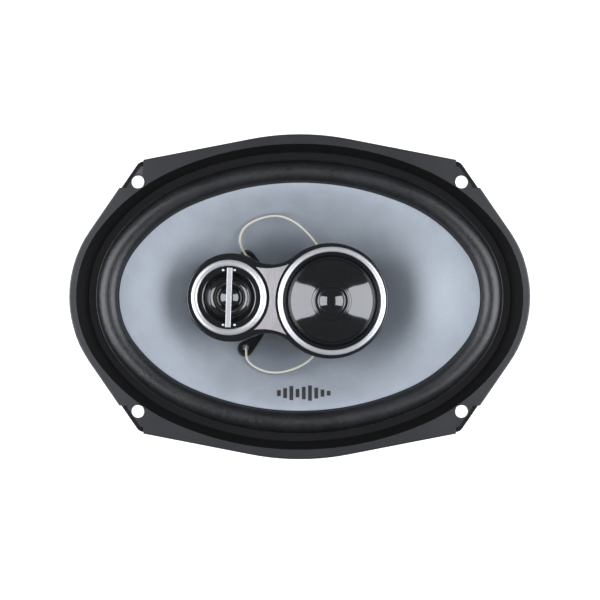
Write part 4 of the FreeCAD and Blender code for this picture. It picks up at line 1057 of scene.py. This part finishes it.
@dataclass
class WooferCone:
    """Silver cone with its lead pads, eyelets and printed mark."""

    dish: Dish
    studs: NodeGroup
    count: int = 288
    wall: float = 0.8
    pad_thickness: float = 1.0
    pad_radius: float = 4.0
    pads: tuple = (("lead_pad_top", PAD_TOP, (-20.0, 17.0)),
                   ("lead_pad_bottom", PAD_BOTTOM, (-18.3, -18.9)))
    pad_edge: float = 0.45
    rim: tuple = ((-0.22, 0.0), (-0.05, 0.10), (0.0, 0.28))
    eyelet: tuple[float, float, float, float] = (0.55, 1.1, 1.8, 0.35)
    mark_centre: tuple[float, float] = (2.1, -49.6)
    mark_heights: tuple[float, ...] = (3.0, 5.0, 7.0, 4.2, 6.2, 7.6, 5.4, 3.6, 2.4)
    mark_bar_width: float = 1.9
    mark_pitch: float = 3.2
    mark_thickness: float = 0.15
    mark_edge: float = 0.08
    sunk: float = -0.15

    def build(self) -> None:
        """Make the cone and what is fixed to its face."""
        self.cone()
        for node, centre, tip in self.pads:
            outline = self.teardrop(Vector(centre), Vector(tip))
            piece = self.patch(node + "_moulding", outline, self.pad_thickness, self.pad_edge)
            dress(piece, PAD_BLACK, "woofer_cone", (node,))
        self.eyelets()
        self.mark()

    def cone(self) -> None:
        """Pressed cone: silver face, rounded rim and dark paper back."""
        shares = [1 - (1 - share) ** 1.25 for share in even_shares(44)]
        front, back = ([self.dish.section(share).points(0, self.dish.height(share) - drop, self.count)
                        for share in order] for drop, order in ((0, shares), (self.wall, shares[::-1])))
        edge = self.dish.section(1.0)
        rim = [edge.points(grow, self.dish.edge_z - drop, self.count)
               for grow, drop in self.rim]
        rings = front[:-1] + rim + back
        piece = mesh_of("woofer_cone_shell", rings, closed=True, sharp=50.0)
        dress(piece, CONE_SILVER, "woofer_cone", ("cone",))
        paint_part(piece, CONE_PAPER, lambda spot, normal: normal.z < -0.15)

    def teardrop(self, centre: Vector, tip: Vector) -> list[Vector]:
        """Outline of a round pad drawn out to a point."""
        run = tip - centre
        half = math.acos(self.pad_radius / run.length)
        heading = math.atan2(run.y, run.x)
        points = []
        arc = math.tau - 2 * half
        for share in even_shares(20):
            angle = heading + half + arc * share
            points.append(centre + Vector((math.cos(angle), math.sin(angle))) * self.pad_radius)
        last, first = points[-1], points[0]
        out, back = (0.25, 0.5, 0.75, 0.93), (0.07, 0.25, 0.5, 0.75)
        points += [last.lerp(tip, share) for share in out] + [tip.lerp(first, share) for share in back]
        return points

    def patch(self, name: str, outline: list[Vector], thickness: float, soften: float) -> bpy.types.Object:
        """Thin body that hugs the cone's face.

        Args:
            name: Name of the piece.
            outline: Its outline over the face.
            thickness: Its height off the face.
            soften: How far its top edge is rounded in.

        Returns:
            The closed mesh object.
        """
        middle = sum(outline, Vector((0.0, 0.0))) / len(outline)
        width = min((point - middle).length for point in outline)
        soft = soften / width
        levels = ((1.0, self.sunk), (1.0, 0.5 * thickness), (1 - 0.35 * soft, 0.85 * thickness),
                  (1 - soft, thickness), (0.6, thickness), (0.3, thickness))
        rings = [[self.dish.place(middle.x, middle.y, self.sunk)]]
        for scale, lift in levels:
            ring = [middle + (point - middle) * scale for point in outline]
            rings.append([self.dish.place(point.x, point.y, lift) for point in ring])
        rings.append([self.dish.place(middle.x, middle.y, thickness)])
        return mesh_of(name, rings, closed=False, sharp=50.0)

    def eyelets(self) -> None:
        """Rolled eyelets, one through each pad and the cone under it."""
        bore, tube, rim, thick = self.eyelet
        top = self.pad_thickness + thick
        bottom = -self.wall - thick
        profile = rounded([(bore, bottom), (rim, bottom), (rim, bottom + thick), (tube, bottom + thick),
                           (tube, top - thick), (rim, top - thick), (rim, top), (bore, top)], 0.16)
        template = mesh_of("eyelet_template", lathe_rings(profile, Vector(), 32), closed=True)
        places = [(self.dish.place(*centre, 0.0), self.dish.normal(*centre)) for _, centre, _ in self.pads]
        piece = stud_row(self.studs, "eyelet_pair", template, places, NICKEL)
        dress(piece, NICKEL, "woofer_cone", ("cone_eyelets",))

    def mark(self) -> None:
        """Printed row of plain bars of uneven height."""
        x, y = self.mark_centre
        start = x - self.mark_pitch * (len(self.mark_heights) - 1) / 2
        bars = []
        for index, height in enumerate(self.mark_heights):
            middle = start + self.mark_pitch * index
            outline = []
            for side, ends in ((1, (-1, 1)), (-1, (1, -1))):
                for share in even_shares(4):
                    rise = (ends[0] + (ends[1] - ends[0]) * share) * height / 2
                    outline.append(Vector((middle + side * self.mark_bar_width / 2, y + rise)))
            bars.append(self.patch(f"bar_{index}", outline, self.mark_thickness, self.mark_edge))
        piece = joined("level_bars", bars)
        dress(piece, CONE_PRINT, "woofer_cone", ("cone_mark",))


def joined(name: str, pieces: list[bpy.types.Object]) -> bpy.types.Object:
    """Join several new pieces into one.

    Args:
        name: Name of the joined piece.
        pieces: The pieces, which are removed.

    Returns:
        The joined piece.
    """
    work = bmesh.new()
    for piece in pieces:
        work.from_mesh(piece.data)
        bpy.data.objects.remove(piece)
    mesh = bpy.data.meshes.new(name)
    work.to_mesh(mesh)
    work.free()
    return finished(name, mesh, 50.0, recalculate=False)


@dataclass
class Pod:
    """Housing on the post that carries the tweeter and the midrange."""

    turn: float = math.radians(-1.9)

    def build(self) -> None:
        """Make the housing, its plate and its inner parts."""
        dress_copies(("pod_housing", POD_BLACK, 0.0, 28.0), ("pod_lid", POST_BLACK, 0.25),
                     ("pod_screws", PLATED_STEEL, 0.1))
        plate = merged_copy("centre_plate", 0.14)
        dress(plate, BRUSHED_PLATE, "frame", ("centre_plate",), turn=self.turn + math.pi / 2)
        dress_copies(("tweeter_capacitor", CAPACITOR_SLEEVE), ("midrange_capacitor", CAPACITOR_SLEEVE))


@dataclass
class SmallDriver:
    """What both small drivers of the pod share."""

    name: str
    body: str
    ring_width: float

    def centre(self) -> Vector:
        """Axis of the driver, in millimetres."""
        return centre_of(self.name + "_ring")

    def turned(self, name: str, profile: Profile, finish: Finish, body: str, node: str) -> bpy.types.Object:
        """Turn a closed section about the driver's axis and dress it for one CAD node."""
        piece = mesh_of(name, lathe_rings(profile, self.centre(), 144), closed=True)
        return dress(piece, finish, body, (node,), self.centre())

    def trim(self) -> None:
        """Silver trim ring with a softly crowned face."""
        low, high = box_mm(self.name + "_ring")
        outer = (high.x - low.x) / 2
        inner = outer - self.ring_width
        middle = (outer + inner) / 2
        outer_drop, inner_drop = 0.35, 0.3
        profile = rounded([(inner, low.z), (outer, low.z), (outer, high.z - outer_drop),
                           (middle, high.z), (inner, high.z - inner_drop)], 0.8, steps=5)
        self.turned(self.name + "_trim", profile, SILVER_TRIM, "frame", self.name + "_ring")

    def motor(self) -> None:
        """Coil, cup, magnet and pole disc behind the diaphragm."""
        for part, finish, body in (("_coil", COPPER_WIRE, self.body), ("_cup", PLATED_STEEL, "frame"),
                                   ("_magnet", FERRITE, "frame"), ("_pole_disc", PLATED_STEEL, "frame")):
            node = self.name + part
            dress(merged_copy(node, 0.08), finish, body, (node,), self.centre())

    def dome(self, node: str, finish: Finish, roll: float) -> None:
        """Pressed dome with a small flat at its rim.

        Args:
            node: The CAD dome.
            finish: Its finish.
            roll: Width of the rim's flat, in millimetres.
        """
        low, high = box_mm(node)
        radius = (high.x - low.x) / 2
        height = high.z - low.z
        cap = radius - roll
        ball = (cap * cap + height * height) / (2 * height)
        half = math.asin(cap / ball)
        rim_z = low.z + 0.12
        wall = 0.4
        profile: Profile = [(radius, low.z), (radius, rim_z)]
        for share in even_shares(18):
            angle = half * (1 - share)
            rise = low.z + height - ball + ball * math.cos(angle)
            profile.append((ball * math.sin(angle), max(rise, rim_z)))
        inner = [(distance, max(level - wall, low.z)) for distance, level in profile[:1:-1]]
        self.turned(node + "_shell", profile + inner, finish, self.body, node)


@dataclass
class Tweeter(SmallDriver):
    """Tweeter in the small lobe: bowl, bar and dome."""

    bowl: float = 13.4
    throat: float = 7.6
    lip: float = 0.5
    barb_at: tuple[float, float] = (2.9, 13.8)

    def build(self) -> None:
        """Make the tweeter from its ring inwards."""
        self.trim()
        self.face()
        self.dome("tweeter_dome", GLOSS_BLACK, 0.5)
        dress(merged_copy("tweeter_bar", 0.05, 25.0), SILVER_BAR, "frame", ("tweeter_bar",), self.centre())
        self.barbs()
        self.motor()

    def face(self) -> None:
        """Bowl that curves from the ring down to the dome's throat."""
        low, high = box_mm("tweeter_face")
        outer = (high.x - low.x) / 2
        start, top, back = self.bowl - self.lip, high.z - self.lip, high.z - 2.2
        throat_step = 1.3
        depth = top - (low.z + throat_step)
        curve: Profile = []
        for share in even_shares(14):
            drop = depth * math.sin(share * math.pi / 2) ** 0.9
            curve.append((start - (start - self.throat) * share, top - drop))
        profile = [(outer, high.z - 0.15), (outer - 0.15, high.z), (self.bowl + 0.25, high.z),
                   (self.bowl - 0.15, high.z - 0.12)] + curve
        profile += [(self.throat, low.z), (self.throat + 2.0, low.z), (self.bowl, back), (outer, back)]
        self.turned("tweeter_bowl", profile, GLOSS_BLACK, "frame", "tweeter_face")

    def barbs(self) -> None:
        """Tiny moulded posts on each side of the bar's ends."""
        base = box_mm("tweeter_bar")[0].z
        profile = rounded([(0, base - 1.0), (0.75, base - 1.0), (0.6, base + 0.3), (0, base + 0.5)],
                          0.2, closed=False)
        x, y = self.barb_at
        posts = []
        for side in (1, -1):
            for way in (1, -1):
                spot = self.centre() + Vector((way * x, side * y, 0))
                posts.append(mesh_of("barb", lathe_rings(profile, spot, 16), closed=False))
        dress(joined("tweeter_barbs", posts), SILVER_BAR, "frame", ())


@dataclass
class Midrange(SmallDriver):
    """Midrange in the large lobe: frame, surround, cone and dust cap."""

    seat: float = 22.6
    cone_edge: float = 20.7
    collar: float = 9.7
    neck: float = 7.45
    beads: tuple = ((0.25, 0.45), (-0.1, 0.55), (-0.5, 0.35), (-0.9, 0.3), (-1.25, 0.5), (-1.7, 0.5))
    bevel: float = 24.6
    shelf: float = 2.6
    hub: tuple[float, float, float] = (8.2, 10.45, 12.4)
    hub_levels: tuple[float, float] = (1.2, 2.2)

    def build(self) -> None:
        """Make the midrange from its ring inwards."""
        self.trim()
        self.frame_ring()
        self.surround()
        self.cone()
        self.dome("midrange_dust_cap", GLOSS_BLACK, 0.35)
        self.motor()

    def frame_ring(self) -> None:
        """Black frame whose bevel leads from the ring down to the surround."""
        low, high = box_mm("midrange_frame")
        outer = (high.x - low.x) / 2
        seat_z = high.z - 2.2
        inner = self.seat - 1
        hole, cup, hub = self.hub
        step_z, floor_z = (low.z + level for level in self.hub_levels)
        profile = rounded([(outer, high.z), (self.bevel, high.z), (self.seat + 0.35, seat_z + 0.55),
                           (self.seat, seat_z), (inner, seat_z), (inner, seat_z - self.shelf),
                           (hub - 0.2, floor_z), (hole, floor_z), (hole, step_z), (cup, step_z),
                           (cup, low.z), (hub, low.z), (self.seat, seat_z - 3.8), (outer, seat_z)], 0.25)
        self.turned("midrange_basket", profile, POD_BLACK, "frame", "midrange_frame")

    def surround(self) -> None:
        """Small half roll that follows the midrange's cone."""
        low = box_mm("midrange_surround")[0]
        edge = self.cone_edge + 0.1
        outer = self.seat - 0.1
        middle = (edge + outer) / 2
        radius = (outer - edge) / 2 - 0.15
        top: Profile = []
        for share in even_shares(10):
            angle = math.pi * (1 - share)
            top.append((middle + radius * math.cos(angle), low.z + 0.25 + 0.75 * math.sin(angle)))
        profile = [(edge, low.z), (edge, low.z + 0.2)] + top + [(outer, low.z + 0.3), (outer, low.z)]
        profile += [(middle + 0.4 * radius, low.z), (middle, low.z + 0.4), (middle - 0.4 * radius, low.z)]
        piece = self.turned("midrange_roll", profile, POD_BLACK, "", "midrange_surround")
        centre = self.centre()
        shares = point_shares(piece, lambda spot: 1 - ((spot - centre).xy.length - edge) / (outer - edge))
        stretch_between(piece)

    def cone(self) -> None:
        """Gloss cone with a double collar about its dust cap."""
        low, high = box_mm("midrange_cone")
        edge, collar = self.cone_edge, self.collar
        collar_z = low.z + 0.7
        foot, foot_z = collar + 0.5, collar_z + 0.2
        front: Profile = [(edge, high.z)]
        for share in even_shares(12)[1:]:
            sag = 0.35 * math.sin(share * math.pi)
            front.append((edge + (foot - edge) * share, high.z + (foot_z - high.z) * share - sag))
        front += [(collar + out, collar_z + up) for out, up in self.beads]
        front.append((self.neck, collar_z + 0.4))
        back = [(self.neck, collar_z - 0.3), (collar, low.z), (edge, high.z - 0.7)]
        self.turned("midrange_cone_shell", front + back, GLOSS_BLACK, self.body, "midrange_cone")


@dataclass
class Leads:
    """Four tinsel leads that follow the cone."""

    dish: Dish
    group: NodeGroup
    radius: float = 0.6
    strands: int = 5
    pitch: float = 3.6
    step: float = 0.3
    stand_off: float = 0.6
    eyelet_top: float = 1.35
    eyelet_bottom: float = -1.15
    rise: float = 2.6
    drop: float = 6.0
    seat_middle: tuple[float, float, float] = (-82.75, 0.0, -23.75)
    seat_lean: float = math.radians(40.9)
    hole_x: float = -4.6
    hole_y: float = 3.4
    front_top: tuple = ((-31.6, 27.5, -11.0), (-29.8, 35.2, -8.6), (-22.3, 40.0, -6.6),
                        (-11.5, 42.3, -5.4), (-2.2, 38.6, -5.6), (4.6, 32.4, -7.4),
                        (10.0, 25.6, -9.2), (12.0, 20.4, -9.4))
    front_bottom: tuple = ((-27.6, -33.6, -10.6), (-19.0, -38.6, -7.6), (-9.5, -39.4, -6.6),
                           (1.6, -35.6, -7.4), (8.1, -30.2, -8.6), (11.4, -24.0, -9.6), (12.4, -19.8, -9.4))
    rear: tuple = ((-66.0, 7.0, -33.0), (-55.0, 12.0, -35.5), (-43.0, 17.0, -34.0))

    def build(self) -> None:
        """Lay the leads in front of the cone and behind it."""
        pod_back = box_mm("pod_housing")[0].z
        for node, pad, route in (("front_lead_top", PAD_TOP, self.front_top),
                                 ("front_lead_bottom", PAD_BOTTOM, self.front_bottom)):
            start = self.dish.place(*pad, self.eyelet_top + self.stand_off)
            end = Vector((*route[-1][:2], pod_back))
            self.lay(node, [start, start + UP * self.rise, *map(Vector, route), end])
        for node, pad, side in (("rear_lead_positive", PAD_TOP, 1), ("rear_lead_negative", PAD_BOTTOM, -1)):
            end = self.dish.place(*pad, self.eyelet_bottom - self.stand_off)
            route = [Vector((x, side * y, z)) for x, y, z in self.rear]
            points = [self.on_seat(side, 0.0), self.on_seat(side, -self.drop), *route,
                      end - UP * self.drop, end]
            self.lay(node, points)

    def on_seat(self, side: int, depth: float) -> Vector:
        """Point on the axis of one lead's hole in the terminal board."""
        c, s = math.cos(self.seat_lean), math.sin(self.seat_lean)
        along = Vector((-c, 0, s)) * self.hole_x
        out = Vector((-s, 0, -c)) * depth
        return Vector(self.seat_middle) + along + out + Vector((0, side * self.hole_y, 0))

    def lay(self, node: str, points: list[Vector]) -> None:
        """Lay one lead along a smooth curve.

        Args:
            node: The CAD lead that it stands for.
            points: Control points from end to end, in millimetres.
        """
        curve = bpy.data.curves.new(node + "_path", "CURVE")
        curve.dimensions = "3D"
        curve.resolution_u = 16
        spline = curve.splines.new("NURBS")
        spline.points.add(len(points) - 1)
        for held, point in zip(spline.points, points):
            held.co = (*(point * MM), 1.0)
        spline.order_u = 3
        spline.use_endpoint_u = True
        values = {"Radius": self.radius * MM, "Strands": self.strands, "Pitch": self.pitch * MM,
                  "Step": self.step * MM, "Material": BRAID.material()}
        piece = self.group.run(placed(node + "_path", curve), values, node + "_braid")
        along = [0.0] * len(piece.data.vertices)
        piece.data.attributes["along"].data.foreach_get("value", along)
        piece.data.attributes.remove(piece.data.attributes["along"])
        dress(piece, BRAID, "", (node,))
        stretch_between(piece)


@dataclass
class Studio:
    """Floor, soft lights and camera."""

    distance: float = 0.753
    lens: float = 88.4
    aim: tuple[float, float] = (0.00015, -0.00168)
    floor_reach: float = 6.0
    box_out: float = 0.62
    box_up: float = 0.52
    box_length: float = 0.80
    box_height: float = 0.70
    box_power: float = 7.0
    box_tint: Colour = (0.905, 0.93, 1.0)
    world_tint: Colour = (0.96, 0.97, 1.0)
    world_level: float = 0.1
    paper_white: float = 0.85
    paper_roughness: float = 0.9
    paper_glow: float = 0.7

    def build(self) -> None:
        """Set the stage."""
        self.floor()
        for side in (1, -1):
            self.softbox(side)
        self.world()
        self.camera()
        bpy.context.scene.view_settings.view_transform = "Standard"

    def floor(self) -> None:
        """Plain white floor under the magnet."""
        low = cad_box[0][2]
        reach = self.floor_reach
        mesh = bpy.data.meshes.new("floor")
        corners = [(-reach, -reach, low), (reach, -reach, low), (reach, reach, low), (-reach, reach, low)]
        mesh.from_pydata(corners, [], [(0, 1, 2, 3)])
        floor = placed("floor", mesh)
        material = bpy.data.materials.new("floor_paper")
        material.use_nodes = True
        NodeBench(material.node_tree).fill(material.node_tree.nodes["Principled BSDF"], {
            "Base Color": (*grey(self.paper_white), 1.0), "Roughness": self.paper_roughness,
            "Emission Color": (1.0, 1.0, 1.0, 1.0), "Emission Strength": self.paper_glow})
        mesh.materials.append(material)

    def softbox(self, side: int) -> None:
        """Large soft light at one end of the speaker."""
        light = bpy.data.lights.new(f"softbox_{side}", "AREA")
        light.shape = "RECTANGLE"
        light.size = self.box_length
        light.size_y = self.box_height
        light.energy = self.box_power
        light.color = self.box_tint
        place = placed(light.name, light)
        place.location = (side * self.box_out, 0.0, self.box_up)
        place.rotation_euler = (-place.location).to_track_quat("-Z", "X").to_euler()

    def world(self) -> None:
        """Dim surroundings behind a white backdrop."""
        world = bpy.data.worlds.new("studio")
        world.use_nodes = True
        bench = NodeBench(world.node_tree)
        background = world.node_tree.nodes["Background"]
        path = bench.add("ShaderNodeLightPath")
        level = bench.math("MULTIPLY_ADD", path.outputs["Is Camera Ray"], 1 - self.world_level,
                           self.world_level)
        bench.fill(background, {"Strength": level, "Color": (*self.world_tint, 1.0)})
        bpy.context.scene.world = world

    def camera(self) -> None:
        """Camera straight in front of the speaker."""
        data = bpy.data.cameras.new("camera")
        data.lens = self.lens
        data.sensor_width = 36.0
        camera = placed("camera", data)
        camera.location = (*self.aim, self.distance)
        bpy.context.scene.camera = camera


def dish_of_frame() -> Dish:
    """Size the cone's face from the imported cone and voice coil."""
    low, high = box_mm("cone")
    neck = box_mm("voice_coil_former")[1].x
    return Dish(half_length=high.x, half_width=high.y, neck=neck, neck_z=low.z + WooferCone.wall,
                edge_z=high.z)


def main() -> None:
    """Build every sub-assembly in order."""
    logging.basicConfig(level=logging.INFO, format="%(name)s: %(message)s")
    Studio().build()
    dish = dish_of_frame()
    studs = stud_group()
    for part in (Basket(studs), Motor(winding_group()), Suspension(dish), WooferCone(dish, studs), Pod(),
                 Tweeter("tweeter", "tweeter_diaphragm", 3.1),
                 Midrange("midrange", "midrange_diaphragm", 2.6), Leads(dish, lead_group())):
        LOG.info("building %s", type(part).__name__)
        part.build()


if __name__ == "__main__":
    main()
